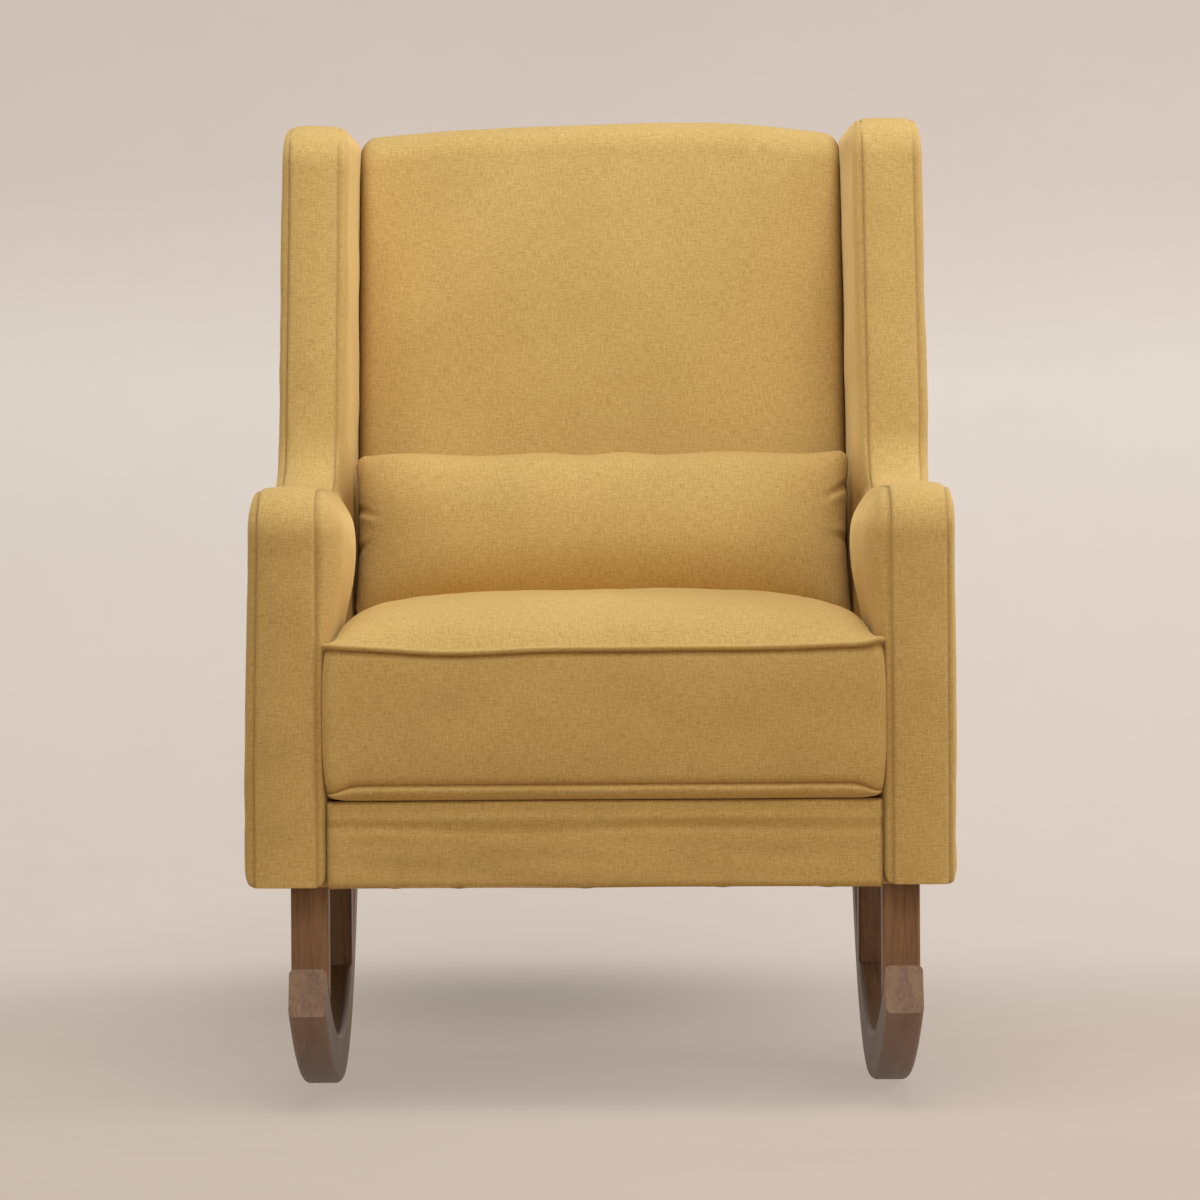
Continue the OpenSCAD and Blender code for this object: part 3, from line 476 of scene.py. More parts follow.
side = {
    "half": 0.363, "front": -0.400, "toe": math.radians(2.15), "thick": 0.082,
    "innerToe": math.radians(0.95), "bottom": 0.229, "length": 0.705, "lean": math.radians(5),
    "armTop": 0.641, "armRound": 0.055,
    "wingFoot": 0.340, "rake": math.radians(12.4), "sweepRound": 0.078,
    "wingTop": 1.043, "wingRound": 0.060, "rearRound": 0.045,
    # where along the front and top edge the corner, arm, sweep, flank and top begin and end
    "stages": (0, 0.14, 0.40, 0.58, 0.84, 1.0), "nearRows": 12,
    "seamOut": 0.010, "seamIn": 0.068, "seamTaper": 0.0138, "seamStep": 0.002,
    # the strip's crown is lower up the fronts and flat over the tops
    "crown": 0.0060, "flatter": 0.0036, "flatMid": 0.28, "flatReach": 0.20,
    "topFrom": 0.83, "topSoft": 0.012,
    "outerRound": 0.026, "innerRound": 0.040, "wingTighter": 0.018, "tighterFrom": (0.70, 0.2),
    "swell": 0.020, "swellMid": (0.140, 0.579), "swellReach": (0.230, 0.096), "swellDown": 0.128,
    # how far the outer panel stands out at the arm, near the floor and at the wing, and the lift
    "leftOut": (0.0026, 0.0054, 0.0012), "rightOut": (-0.0004, 0.0, 0.0042),
    "outFrom": ((0.66, -0.05), (0.57, -0.22), (0.62, 0.1)), "outDepth": 0.05,
    "lift": (-0.003, 0.0024), "liftFrom": (0.75, 0.25),
    # the seam grooves, a painted shade line along them, and the folded allowance beside them
    "groove": 0.0019, "grooveReach": 0.0014, "seamTone": 0.5, "seamReach": 0.0012,
    "fold": 0.0008, "foldAt": 0.0037, "foldReach": 0.0018, "panelFold": 0.3,
    # where the stitching hardly shows: how much is lost, where along the edge, and the reach
    "lost": ((0.75, 0.33, 0.17), (0.85, 0.93, 0.07)),
    # painted shade on the inner panel where the pillow and the cushion sit against it: where it
    # starts along the side and below which height, and how dark
    "tuckedShadeFrom": (0.24, 0.08), "tuckedShadeBelow": (0.69, -0.06), "tuckedShadeTone": 0.95,
    "calm": 0.004, "stripWaves": ((0.0007, 0.085),),
    "panelWaves": ((0.0008, 0.16), (0.0003, 0.05)), "panelSink": 0.7,
    "across": 100, "along": 64, "cuts": 19,
}


def centresOf(s):
    # the middles of the sweep, of the wing's front round and of its rear round
    rise = s["wingTop"] - s["wingRound"]
    rearRise = s["wingTop"] - s["rearRound"]
    return (
        (s["wingFoot"] - s["sweepRound"] * math.tan((math.pi / 2 - s["rake"]) / 2),
         s["armTop"] + s["sweepRound"]),
        (s["wingFoot"] + s["wingRound"] / math.cos(s["rake"])
         + (rise - s["armTop"]) * math.tan(s["rake"]), rise),
        (s["length"] - s["rearRound"] / math.cos(s["lean"])
         + (rearRise - s["bottom"]) * math.tan(s["lean"]), rearRise))


side["sweepMid"], side["wingMid"], side["rearMid"] = centresOf(side)


def halfAt(d, depth):
    return side["half"] - d * math.tan(side["toe"]) - depth / math.cos(side["toe"])


def thickAt(d):
    return side["thick"] - d * (math.tan(side["toe"]) - math.tan(side["innerToe"]))


def innerHalf(d):
    return halfAt(d, thickAt(d))


def seamInAt(d):
    return np.minimum(side["seamIn"] - side["seamTaper"] * d, thickAt(d) - side["seamStep"])


def rearLine(z, inset):
    return (side["length"] + (z - side["bottom"]) * math.tan(side["lean"])
            - inset / math.cos(side["lean"]))


def wingRear(z, inset):
    mid, r = side["rearMid"], side["rearRound"] - inset
    arc = mid[0] + np.sqrt(np.maximum(r ** 2 - (z - mid[1]) ** 2, 0))
    return np.where(z < mid[1] - r * math.sin(side["lean"]), rearLine(z, inset), arc)


def crownAt(u):
    overTop = 1 / (1 + np.exp((side["topFrom"] - u) / side["topSoft"]))
    return side["crown"] - side["flatter"] * np.maximum(
        bump(u, side["flatMid"], side["flatReach"]), overTop)


def sidePoint(u, v, inset):
    # a place on the side's outline grid: ribs run from the front and top edges to the far ones
    inset = inset * np.ones(len(u))
    r, rake, bottom = side["armRound"], side["rake"], side["bottom"]
    sweep, wing = side["sweepMid"], side["wingMid"]
    low = sweep[1] - (side["sweepRound"] + inset) * math.sin(rake)
    high = wing[1] + (side["wingRound"] - inset) * math.sin(rake)
    first, last = np.zeros((len(u), 2)), np.zeros((len(u), 2))
    stages = np.array(side["stages"])
    stage = np.clip(np.searchsorted(stages, u + 1e-9) - 1, 0, len(stages) - 2)
    t = (u - stages[stage]) / (stages[stage + 1] - stages[stage])

    def put(where, nearD, nearZ, farD, farZ):
        first[where, 0], first[where, 1] = nearD, nearZ
        last[where, 0], last[where, 1] = farD, farZ

    corner = stage == 0
    turn = t[corner] * math.pi / 2
    reach = r - inset[corner]
    d = r - reach * np.cos(turn)
    put(corner, d, side["armTop"] - r + reach * np.sin(turn), d, bottom)

    arm = stage == 1
    d = r + t[arm] * (sweep[0] - r)
    put(arm, d, side["armTop"] - inset[arm], d, bottom)

    bend = stage == 2
    turn = -math.pi / 2 + t[bend] * (math.pi / 2 - rake)
    reach = side["sweepRound"] + inset[bend]
    # the ribs' far ends go on to the heel, and then up the rear
    heel = rearLine(bottom, inset[bend])
    z = bottom + np.maximum(2 * t[bend] - 1, 0) * (low[bend] - bottom)
    along = np.where(t[bend] < 0.5, sweep[0] + 2 * t[bend] * (heel - sweep[0]),
                     rearLine(z, inset[bend]))
    put(bend, sweep[0] + reach * np.cos(turn), sweep[1] + reach * np.sin(turn), along, z)

    flank = stage == 3
    z = low[flank] + t[flank] * (high - low)[flank]
    along = (side["wingFoot"] + (z - side["armTop"]) * math.tan(rake)
             + inset[flank] / math.cos(rake))
    put(flank, along, z, wingRear(z, inset[flank]), z)

    top = stage == 4
    turn = rake + t[top] * (math.pi / 2 - rake)
    reach = side["wingRound"] - inset[top]
    z = wing[1] + reach * np.sin(turn)
    put(top, wing[0] - reach * np.cos(turn), z, wingRear(z, inset[top]), z)

    # closer rows within the inner panel's round
    span = np.linalg.norm(last - first, axis=1)
    near, share = side["innerRound"], side["nearRows"] / side["along"]
    w = np.minimum(v, 1 - v)
    run = np.where(w < share, near * (np.minimum(w / share, 1)) ** 1.5,
                   near + (w - share) / (0.5 - share) * (span / 2 - near))
    run = np.where(v > 0.5, span - run, run)
    return first + (last - first) * (run / span)[:, None]


def sideBorder():
    # the outline, walked once round: its drawn-in line, and the inward way at each point
    acrossSteps = np.linspace(0, 1, side["across"] * 2 + 1)
    alongSteps = np.linspace(0, 1, side["along"] * 2 + 1)
    u = np.concatenate([acrossSteps, np.ones(len(alongSteps)),
                        acrossSteps[::-1], np.zeros(len(alongSteps))])
    v = np.concatenate([np.zeros(len(acrossSteps)), alongSteps,
                        np.ones(len(acrossSteps)), alongSteps[::-1]])
    ring = sidePoint(u, v, crownAt(u))
    way = ring - sidePoint(u, v, 0.0)
    way /= np.maximum(np.linalg.norm(way, axis=1), 1e-4)[:, None]
    return ring, way


def nearestEdge(points, line, inward):
    # distance from a closed line of points, and the inward way at the nearest of them
    a, b = line, np.roll(line, -1, axis=0)
    ab = b - a
    t = np.clip(((points[:, None] - a) * ab).sum(2) / np.maximum((ab ** 2).sum(1), 1e-12), 0, 1)
    gap = np.linalg.norm(points[:, None] - a - t[..., None] * ab, axis=2)
    best = gap.argmin(1)
    return gap.min(1), inward[best]


def placeSide(co, hand, seed):
    s = side
    u, v, k = co.T
    drawn = sidePoint(u, v, crownAt(u))
    full = sidePoint(u, v, 0.0)
    gap, inward = nearestEdge(drawn, *sideBorder())
    d, z = drawn.T
    strip = inBand(k)
    outerPanel, innerPanel = ~strip & (k < 0.5), ~strip & (k > 0.5)

    # the two panels, the inner one with its swell over the arm
    rise = z - s["swellMid"][1]
    q = ((d - s["swellMid"][0]) / s["swellReach"][0]) ** 2 \
        + (rise / np.where(rise > 0, s["swellReach"][1], s["swellDown"])) ** 2
    swell = np.where(q < 1, s["swell"] * (1 - np.minimum(q, 1)) ** 2, 0)
    outFace = s["seamOut"] * quarter(1 - np.minimum(gap / s["outerRound"], 1))
    seamIn = seamInAt(d)
    innerRound = s["innerRound"] - s["wingTighter"] * fade(z, *s["tighterFrom"])
    inFace = seamIn + (thickAt(d) + swell - seamIn) * (
        1 - quarter(1 - np.minimum(gap / innerRound, 1)))

    # the crowned strip
    share = easedIn(k)
    stripDepth = s["seamOut"] + (seamIn - s["seamOut"]) * share
    arch = 1 - np.abs(2 * share - 1) ** 2.5
    depth = np.where(strip, stripDepth, np.where(outerPanel, outFace, inFace))
    flat = np.where(strip[:, None], drawn + (full - drawn) * arch[:, None], drawn)

    # seam grooves, with the folded allowance standing beside them on the strip
    fromSeam = np.where(strip, np.minimum(stripDepth - s["seamOut"], seamIn - stripDepth), gap)
    spots = np.stack([depth, flat[:, 0], flat[:, 1]], 1)
    pucker = 0.75 + 0.35 * ripple(spots, 0.030, seed)
    shown = 1
    for much, mid, reach in s["lost"]:
        shown = shown * (1 - much * bump(u, mid, reach))
    sink = s["groove"] * bump(fromSeam, 0, s["grooveReach"])
    sink -= np.where(strip, s["fold"], s["panelFold"] * s["fold"]) \
        * bump(fromSeam, s["foldAt"], s["foldReach"]) * pucker
    sink = sink * shown
    # the cloth's own unevenness, none at the seams
    calm = 1 - bump(fromSeam, 0, s["calm"])
    sink -= np.where(strip, 1, 0) * calm * unevenness(spots, s["stripWaves"], seed + 1)
    flat = flat + inward * sink[:, None]
    depth = depth + s["panelSink"] * sink * (outerPanel * 1.0 - innerPanel * 1.0)
    wave = calm * unevenness(spots, s["panelWaves"], seed + 2)
    depth = depth + np.where(strip, 0, np.where(outerPanel, np.maximum(wave, -0.0002), wave))

    # painted shade: a thin line along each seam, and a darker zone on the inner panel where the
    # pillow and the cushion sit against it
    seam = s["seamTone"] * bump(fromSeam, 0, s["seamReach"]) * shown
    tuckedShade = fade(d, *s["tuckedShadeFrom"]) * fade(z, *s["tuckedShadeBelow"])
    seam = np.maximum(seam, np.where(innerPanel, s["tuckedShadeTone"] * tuckedShade, 0))

    # the outer panels don't stand quite alike
    height = flat[:, 1]
    flare = sum(out * fade(height, *where) for out, where
                in zip(s["leftOut"] if hand < 0 else s["rightOut"], s["outFrom"]))
    depth = depth - flare * np.clip(1 - depth / s["outDepth"], 0, 1)
    flat[:, 1] += s["lift"][0 if hand < 0 else 1] * fade(height, *s["liftFrom"])
    x, y, toe = -depth, flat[:, 0], s["toe"]
    return np.stack([
        hand * (s["half"] + x * math.cos(toe) - y * math.sin(toe)),
        s["front"] + x * math.sin(toe) + y * math.cos(toe),
        flat[:, 1]], 1), seam


clothPiece("sideCoverRight", side, lambda co: placeSide(co, 1, 11), "side_cover_right")
clothPiece("sideCoverLeft", side, lambda co: placeSide(co, -1, 23), "side_cover_left")
print("side covers are made")


# Inside back: a crowned pad that rolls over the top rail to the rear

back = {
    "foot": (0.100, 0.317), "rake": math.radians(12), "tall": 0.747, "arch": 0.012,
    "rise": 0.0056, "riseMid": 0.5, "riseReach": 0.45,      # the arch's higher right half
    "crown": 0.030, "topRound": 0.046, "overTop": 0.002, "lip": 0.008, "tail": 0.040,
    "skin": 0.0095,
    # the last reach is of the painted shade along the edges, where they roll into the crease beside
    # the wings
    "outside": 0.006, "clear": 0.0006, "gap": 0.0003, "edge": 0.018, "seamReach": 0.007,
    # the shares of the rows that end the front, the round, the flat and the lip
    "stages": (0.62, 0.75, 0.90, 0.95),
    "waves": ((0.0012, 0.22), (0.0004, 0.07)), "closer": 1.35,
    "across": 92, "along": 130, "cuts": 1,
}


def onBack(y, z):
    turn = back["rake"]
    return (back["foot"][0] + y * math.cos(turn) + z * math.sin(turn),
            back["foot"][1] + z * math.cos(turn) - y * math.sin(turn))


def backWidth(y, z):
    return innerHalf(onBack(y, z)[0] - side["front"])


def outsideFace(z):
    # how far behind the back's own plane the inner face of the outside back is
    lean, rake = side["lean"], back["rake"]
    k = math.tan(lean)
    return (side["length"] - back["outside"] / math.cos(lean)
            - (back["foot"][0] - side["front"])
            + (back["foot"][1] - side["bottom"]) * k
            + z * (k * math.cos(rake) - math.sin(rake))) / (math.cos(rake) + k * math.sin(rake))


def backBulge(u, z):
    rise = np.sin(math.pi * np.clip(z / back["tall"], 0, 1) ** 0.85)
    return back["crown"] * (1 - np.abs(u) ** 4) * np.maximum(rise, 0) ** 0.7


def placeBack(co):
    s = back
    u, v, k = closer(co[:, 0] * 2 - 1, s["closer"]), co[:, 1], co[:, 2]
    top = s["tall"] + s["arch"] * (1 - u ** 2) + s["rise"] * bump(u, s["riseMid"], s["riseReach"])
    r, lip = s["topRound"], s["lip"]
    start = -backBulge(u, top - r)
    rear = outsideFace(top - lip) - s["clear"]
    frontEnd, roundEnd, flatEnd, lipEnd = s["stages"]
    y, z, ny, nz = np.zeros((4, len(u)))

    def put(where, atY, atZ, outY, outZ):
        y[where], z[where], ny[where], nz[where] = atY, atZ, outY, outZ

    front = v <= frontEnd
    up = (top[front] - r) * v[front] / frontEnd
    put(front, -backBulge(u[front], up), up, -1, 0)

    turning = (v > frontEnd) & (v <= roundEnd)
    a = (v[turning] - frontEnd) / (roundEnd - frontEnd) * math.pi / 2
    put(turning, start[turning] + r * (1 - np.cos(a)), top[turning] - r * (1 - np.sin(a)),
        -np.cos(a), np.sin(a))

    flat = (v > roundEnd) & (v <= flatEnd)
    t = (v[flat] - roundEnd) / (flatEnd - roundEnd)
    put(flat, start[flat] + r + t * (rear[flat] - lip - start[flat] - r),
        top[flat] + s["overTop"] * np.sin(math.pi * t), 0, 1)

    turned = (v > flatEnd) & (v <= lipEnd)
    a = (v[turned] - flatEnd) / (lipEnd - flatEnd) * math.pi / 2
    put(turned, rear[turned] - lip * (1 - np.sin(a)), top[turned] - lip * (1 - np.cos(a)),
        np.sin(a), np.cos(a))

    tail = v > lipEnd
    down = top[tail] - lip - (v[tail] - lipEnd) / (1 - lipEnd) * s["tail"]
    put(tail, outsideFace(down) - s["clear"], down, 1, 0)

    half = backWidth(y, z) - s["gap"]
    x = u * half
    # the edges roll back into the crease beside the wings
    q = fade(np.abs(x), half - s["edge"], s["edge"])
    roll = s["edge"] * (1 - np.sqrt(1 - q ** 2 * 0.98))
    calm = 1 - np.abs(u) ** 6
    wave = calm * unevenness(np.stack([x, y, z], 1), s["waves"], 31)
    sink = roll + s["skin"] * k
    y = y - ny * sink - np.where(front, wave, 0)
    z = z - nz * sink - np.where(flat | turning, np.abs(wave) * 0.5, 0)
    worldY, worldZ = onBack(y, z)
    # painted shade along the edges, where they roll into the crease beside the wings
    return np.stack([x, worldY, worldZ], 1), bump(half - np.abs(x), 0, s["seamReach"])


clothPiece("insideBack", back, placeBack, "inside_back")
print("inside back is made")


# Outside back: a flat panel with rolled edges

outsideBack = {
    "top": 1.013, "thick": 0.006, "sideDepth": 0.048, "roll": 0.004, "lift": 0.001,
    "gap": 0.0004, "waves": ((0.0006, 0.2),), "sunk": 0.0006,
    "across": 60, "along": 90, "cuts": 3,
}


def placeOutsideBack(co):
    s = outsideBack
    u, v, k = co[:, 0] * 2 - 1, co[:, 1], co[:, 2]
    bottom = side["bottom"]
    z = bottom + s["lift"] + v * (s["top"] - bottom - s["lift"])
    half = halfAt(rearLine(z, 0), s["sideDepth"]) - s["gap"]
    x = u * half
    edge = np.minimum(half - np.abs(x), np.minimum(z - bottom, s["top"] - z))
    rolled = s["roll"] * quarter(np.clip(1 - edge / s["roll"], 0, 1))
    wave = unevenness(np.stack([x, z, k], 1), s["waves"], 41) - s["sunk"]
    depth = np.where(k > 0.5, rolled - wave, s["thick"])
    depth = np.where(inBand(k), s["thick"] - (s["thick"] - rolled) * k, depth)
    return np.stack([x, side["front"] + rearLine(z, 0) - depth, z], 1), None


clothPiece("outsideBack", outsideBack, placeOutsideBack, "outside_back")
print("outside back is made")


# Front apron: a padded strip under the cushion with a tucked lower edge

apron = {
    "front": 0.004, "rear": 0.018, "low": 0.227, "high": 0.317, "depth": 0.0782, "roll": 0.007,
    "tucks": (-0.215, -0.150, -0.020, 0.120, 0.228), "tuckWide": 0.006, "tuckUp": 0.0008,
    "hem": 0.0012, "hemDrop": 0.0006, "hemWave": 0.17,
    "waves": ((0.0013, 0.19), (0.0004, 0.06)), "sunk": 0.0008,
    "crease": 0.0022, "creaseAt": 0.2885, "creaseReach": 0.0055,
    "hollow": 0.0014, "hollowAt": 0.2990, "hollowReach": 0.0060,
    "pull": 0.0009, "pullWave": 0.009, "pullReach": 0.015,
    # painted shade at the ends, in the gaps beside the arms
    "seamTone": 0.9, "seamReach": 0.0022,
    "across": 150, "along": 34, "cuts": 3,
}


def placeApron(co):
    s = apron
    u, v, k = co[:, 0] * 2 - 1, co[:, 1], co[:, 2]
    d = np.where(k > 0.5, s["front"], s["rear"])
    d = np.where(inBand(k), s["rear"] + (s["front"] - s["rear"]) * k, d)
    half = halfAt(d, s["depth"])
    x = u * half
    z = s["low"] + v * (s["high"] - s["low"])
    lowEdge = 1 - v
    tuck = sum(bump(x, spot, s["tuckWide"]) for spot in s["tucks"])
    uneven = ripple(np.stack([x, x * 0, x * 0], 1), s["hemWave"], 51)
    z = z + (s["hem"] * uneven - s["tuckUp"] * tuck + s["hemDrop"]) * lowEdge ** 2
    edge = np.minimum(half - np.abs(x), np.minimum(z - s["low"], s["high"] - z))
    rolled = s["roll"] * 0.8 * quarter(np.clip(1 - edge / s["roll"], 0, 1))
    # the waves are longer across than up
    wave = unevenness(np.stack([x * 0.55, z * 2.4, x * 0], 1), s["waves"], 52)
    # one long soft crease over a hollow, and short pulls above the tucks
    crease = bump(z, s["creaseAt"] + 0.002 * np.sin(x / 0.06), s["creaseReach"])
    wave = wave + s["crease"] * crease * (0.7 + 0.3 * np.sin(x / 0.045))
    wave = wave - s["hollow"] * bump(z, s["hollowAt"], s["hollowReach"])
    pulls = sum(np.cos((x - spot) / s["pullWave"]) * bump(x, spot, s["pullReach"])
                for spot in s["tucks"])
    wave = wave + s["pull"] * pulls * lowEdge ** 1.5
    d = d + np.where((k > 0.5) & ~inBand(k), rolled + wave - s["sunk"], 0)
    # painted shade at the ends, in the gaps beside the arms
    seam = s["seamTone"] * bump(half - np.abs(x), 0, s["seamReach"])
    return np.stack([x, side["front"] + d, z], 1), seam


clothPiece("frontApron", apron, placeApron, "front_apron")
print("front apron is made")


# Seat cushion: a boxed cushion with a crowned top, a cord in its top seam and a belly

cushion = {
    "near": -0.004, "far": 0.495, "clear": 0.0046, "corner": 0.013, "cornerSpan": (0.722, 0.499),
    "low": 0.3334, "boxing": 0.143, "crown": 0.055, "belly": 0.016, "bulge": 0.004,
    "cord": 0.0029, "cordOut": 0.0006, "cordSteps": 120,
    # the lower panel turns under within the first part of its run from edge to middle
    "panelRun": 0.25, "underRoll": 0.015, "underArc": 0.024, "fillCorner": 0.6,
    "frontFrom": (-0.30, -0.10),
    # the top seam hangs here at the front: how deep, the middle and the reach
    "drops": ((0.0072, -0.155, 0.085), (0.0040, 0.02, 0.11), (0.0030, 0.17, 0.08)),
    # the belly's front ends are drawn down to a point
    "pointDrop": 0.0080, "pointReach": 0.016,
    "ears": (0.0008, 0.0040), "earReach": 0.010,
    "topWaves": ((0.0012, 0.2), (0.0005, 0.06)), "boxingWaves": ((0.0014, 0.2), (0.0006, 0.06)),
    "rollOut": 0.0012, "rollWaves": ((0.0006, 0.11),),
    "topPull": (0.0022, 0.0052, 0.003), "lowPull": (0.0036, 0, 0.0030),
    # painted shade at the top and lower seams: how much, how far from the seam, and the reach
    "topSeamShade": (0.75, 0.0044, 0.0016), "lowSeamShade": (0.8, 0, 0.0012),
    "closer": 1.5, "across": 92, "along": 84, "cuts": 29, "fill": 0.75,
}


def cushionSquare(a, b):
    return rounded(a, b, *(2 * cushion["corner"] / span for span in cushion["cornerSpan"]))


def cushionPlan(pa, pb, reach, out):
    c = cushion
    mid, length = (c["near"] + c["far"]) / 2, (c["far"] - c["near"]) / 2
    d = mid + reach * pb * (length + out)
    # the foam swells into the hollow beside the rounded arm fronts
    behind = np.clip(d - side["crown"], 0, side["innerRound"]) / side["innerRound"]
    hollow = (side["thick"] - side["seamIn"]) * quarter(1 - behind)
    half = innerHalf(d) - c["clear"] + out + c["fillCorner"] * hollow
    return reach * pa * half, side["front"] + d


def atFront(y):
    return fade(y, *cushion["frontFrom"])


def fromArm(x, y):
    return innerHalf(y - side["front"]) - np.abs(x)


def seamDrop(x, y):
    # the front seam hangs a little between its ends
    return atFront(y) * sum(deep * bump(x, mid, reach) for deep, mid, reach in cushion["drops"])


def earsAt(x, y):
    # the two front corners of the top seam stand up a little
    left, right = cushion["ears"]
    return np.where(x > 0, right, left) * bump(fromArm(x, y), 0, cushion["earReach"]) * atFront(y)


def placeCushion(co):
    c = cushion
    a, b, k = closer(co[:, 0] * 2 - 1, c["closer"]), closer(co[:, 1] * 2 - 1, c["closer"]), co[:, 2]
    pa, pb, reach = cushionSquare(a, b)
    boxed = inBand(k)
    top, bottom = ~boxed & (k > 0.5), ~boxed & (k < 0.5)
    share = easedIn(k)
    out = np.where(boxed, c["bulge"] * (1 - np.abs(2 * share - 1) ** 3), 0)
    # the lower panel rolls under in a quarter round
    panel, arc, under = c["panelRun"], c["underArc"], c["underRoll"]
    run = (1 - reach) * panel
    turn = np.minimum(run / arc, 1) * math.pi / 2
    inset = np.where(run < arc, under * (1 - np.cos(turn)),
                     under + (run - arc) * (panel - under) / (panel - arc))
    reach = np.where(bottom, np.maximum(1 - inset / panel, 0), reach)
    x, y = cushionPlan(pa, pb, reach, out)
    crown = np.maximum(0, 1 - np.abs(reach * pa) ** 3.5) ** 0.35 \
        * (1 - np.abs(reach * pb) ** np.where(pb < 0, 5, 2.4))
    # both front ends of the belly are drawn into a point
    drawn = bump(fromArm(x, y), 0, c["pointReach"]) * atFront(y)
    ears = earsAt(x, y)
    low, high = c["low"] - c["pointDrop"] * drawn, c["low"] + c["boxing"]
    z = np.where(top, high + c["crown"] * crown,
                 np.where(bottom, low - c["belly"] * np.sin(turn) * (1 - 0.50 * drawn),
                          low + (high - low) * share))
    # the cloth's own unevenness, none at the top seam
    spots = np.stack([x, y, z], 1)
    fromTopSeam = 1 - reach
    calm = 1 - bump(fromTopSeam, 0, 0.05)
    z = z + np.where(top, calm * unevenness(spots, c["topWaves"], 61), 0)
    sway = np.sin(math.pi * share) * unevenness(spots, c["boxingWaves"], 63)
    y = y - np.where(boxed & (pb < -0.9), sway, 0)
    roll = np.where(bottom & (pb < -0.9), np.sin(2 * np.minimum(turn, math.pi / 2)), 0)
    y = y - roll * (c["rollOut"] + unevenness(spots, c["rollWaves"], 65))
    z = z - seamDrop(x, y) * share ** 2 * np.where(top, 1 - calm, 1) \
        + ears * np.where(top, bump(fromTopSeam, 0, 0.03), np.clip(k, 0, 1) ** 6)
    # each seam pulls the cloth in, and painted shade darkens it: just under the cord at the top,
    # and along the lower seam
    toTop = np.where(boxed, (1 - share) * c["boxing"], 1)
    toLow = np.where(boxed, share * c["boxing"], np.where(bottom, run, 1))

    def atSeams(atTop, atLow):
        return atTop[0] * bump(toTop, *atTop[1:]) + atLow[0] * bump(toLow, *atLow[1:])

    pull = atSeams(c["topPull"], c["lowPull"])
    y = y + np.where(pb < -0.5, pull, np.where(pb > 0.5, -pull, 0))
    return np.stack([x, y, z], 1), atSeams(c["topSeamShade"], c["lowSeamShade"])


def makeCushion():
    piece = clothPiece("seatCushion", cushion, placeCushion, "seat_cushion", "seat_cushion")
    ring = np.linspace(-1, 1, cushion["cordSteps"], endpoint=False)
    edge = np.ones(len(ring))
    a = np.concatenate([ring, edge, -ring, -edge])
    b = np.concatenate([-edge, ring, edge, -ring])
    x, y = cushionPlan(*cushionSquare(a, b), cushion["cordOut"])
    height = cushion["low"] + cushion["boxing"] - seamDrop(x, y) + earsAt(x, y)
    cordAround("cushionCord", list(zip(x, y, height)), cushion["cord"], "seat_cushion",
               "upholstery")


makeCushion()
print("seat cushion is made")


# Lumbar pillow: two puffed faces drawn into a seam, gathered at its ends

pillow = {
    "tall": 0.187, "thick": 0.112, "up": 0.260, "draw": 0.005, "rake": math.radians(14),
    "off": -0.0855, "ends": 0.0016, "rx": 0.055, "ry": 0.17, "closer": 1.3,
    # end folds: side, height, depth, length, width, slope
    "folds": [(-1, 0.030, 0.0085, 0.015, 0.0036, -0.50), (-1, -0.016, 0.0062, 0.012, 0.0034, 0.30),
              (1, 0.054, 0.0070, 0.018, 0.0044, -0.60), (1, -0.008, 0.0040, 0.012, 0.0040, 0.25)],
    "foldIn": 0.0022, "foldInReach": 0.022,
    "gather": 0.0005, "crease": 0.0007, "edgeWave": 0.0016, "waves": ((0.0016, 0.13),),
    # painted shade at the ends, how it fades towards the top, and a faint line along the long seams
    "endShadeTone": 0.95, "endShadeReach": 0.011, "endShadeFades": (-0.01, 0.05, 0.6),
    "seamTone": 0.4, "seamReach": 0.002,
    "across": 170, "along": 84, "fill": 0.7,
}


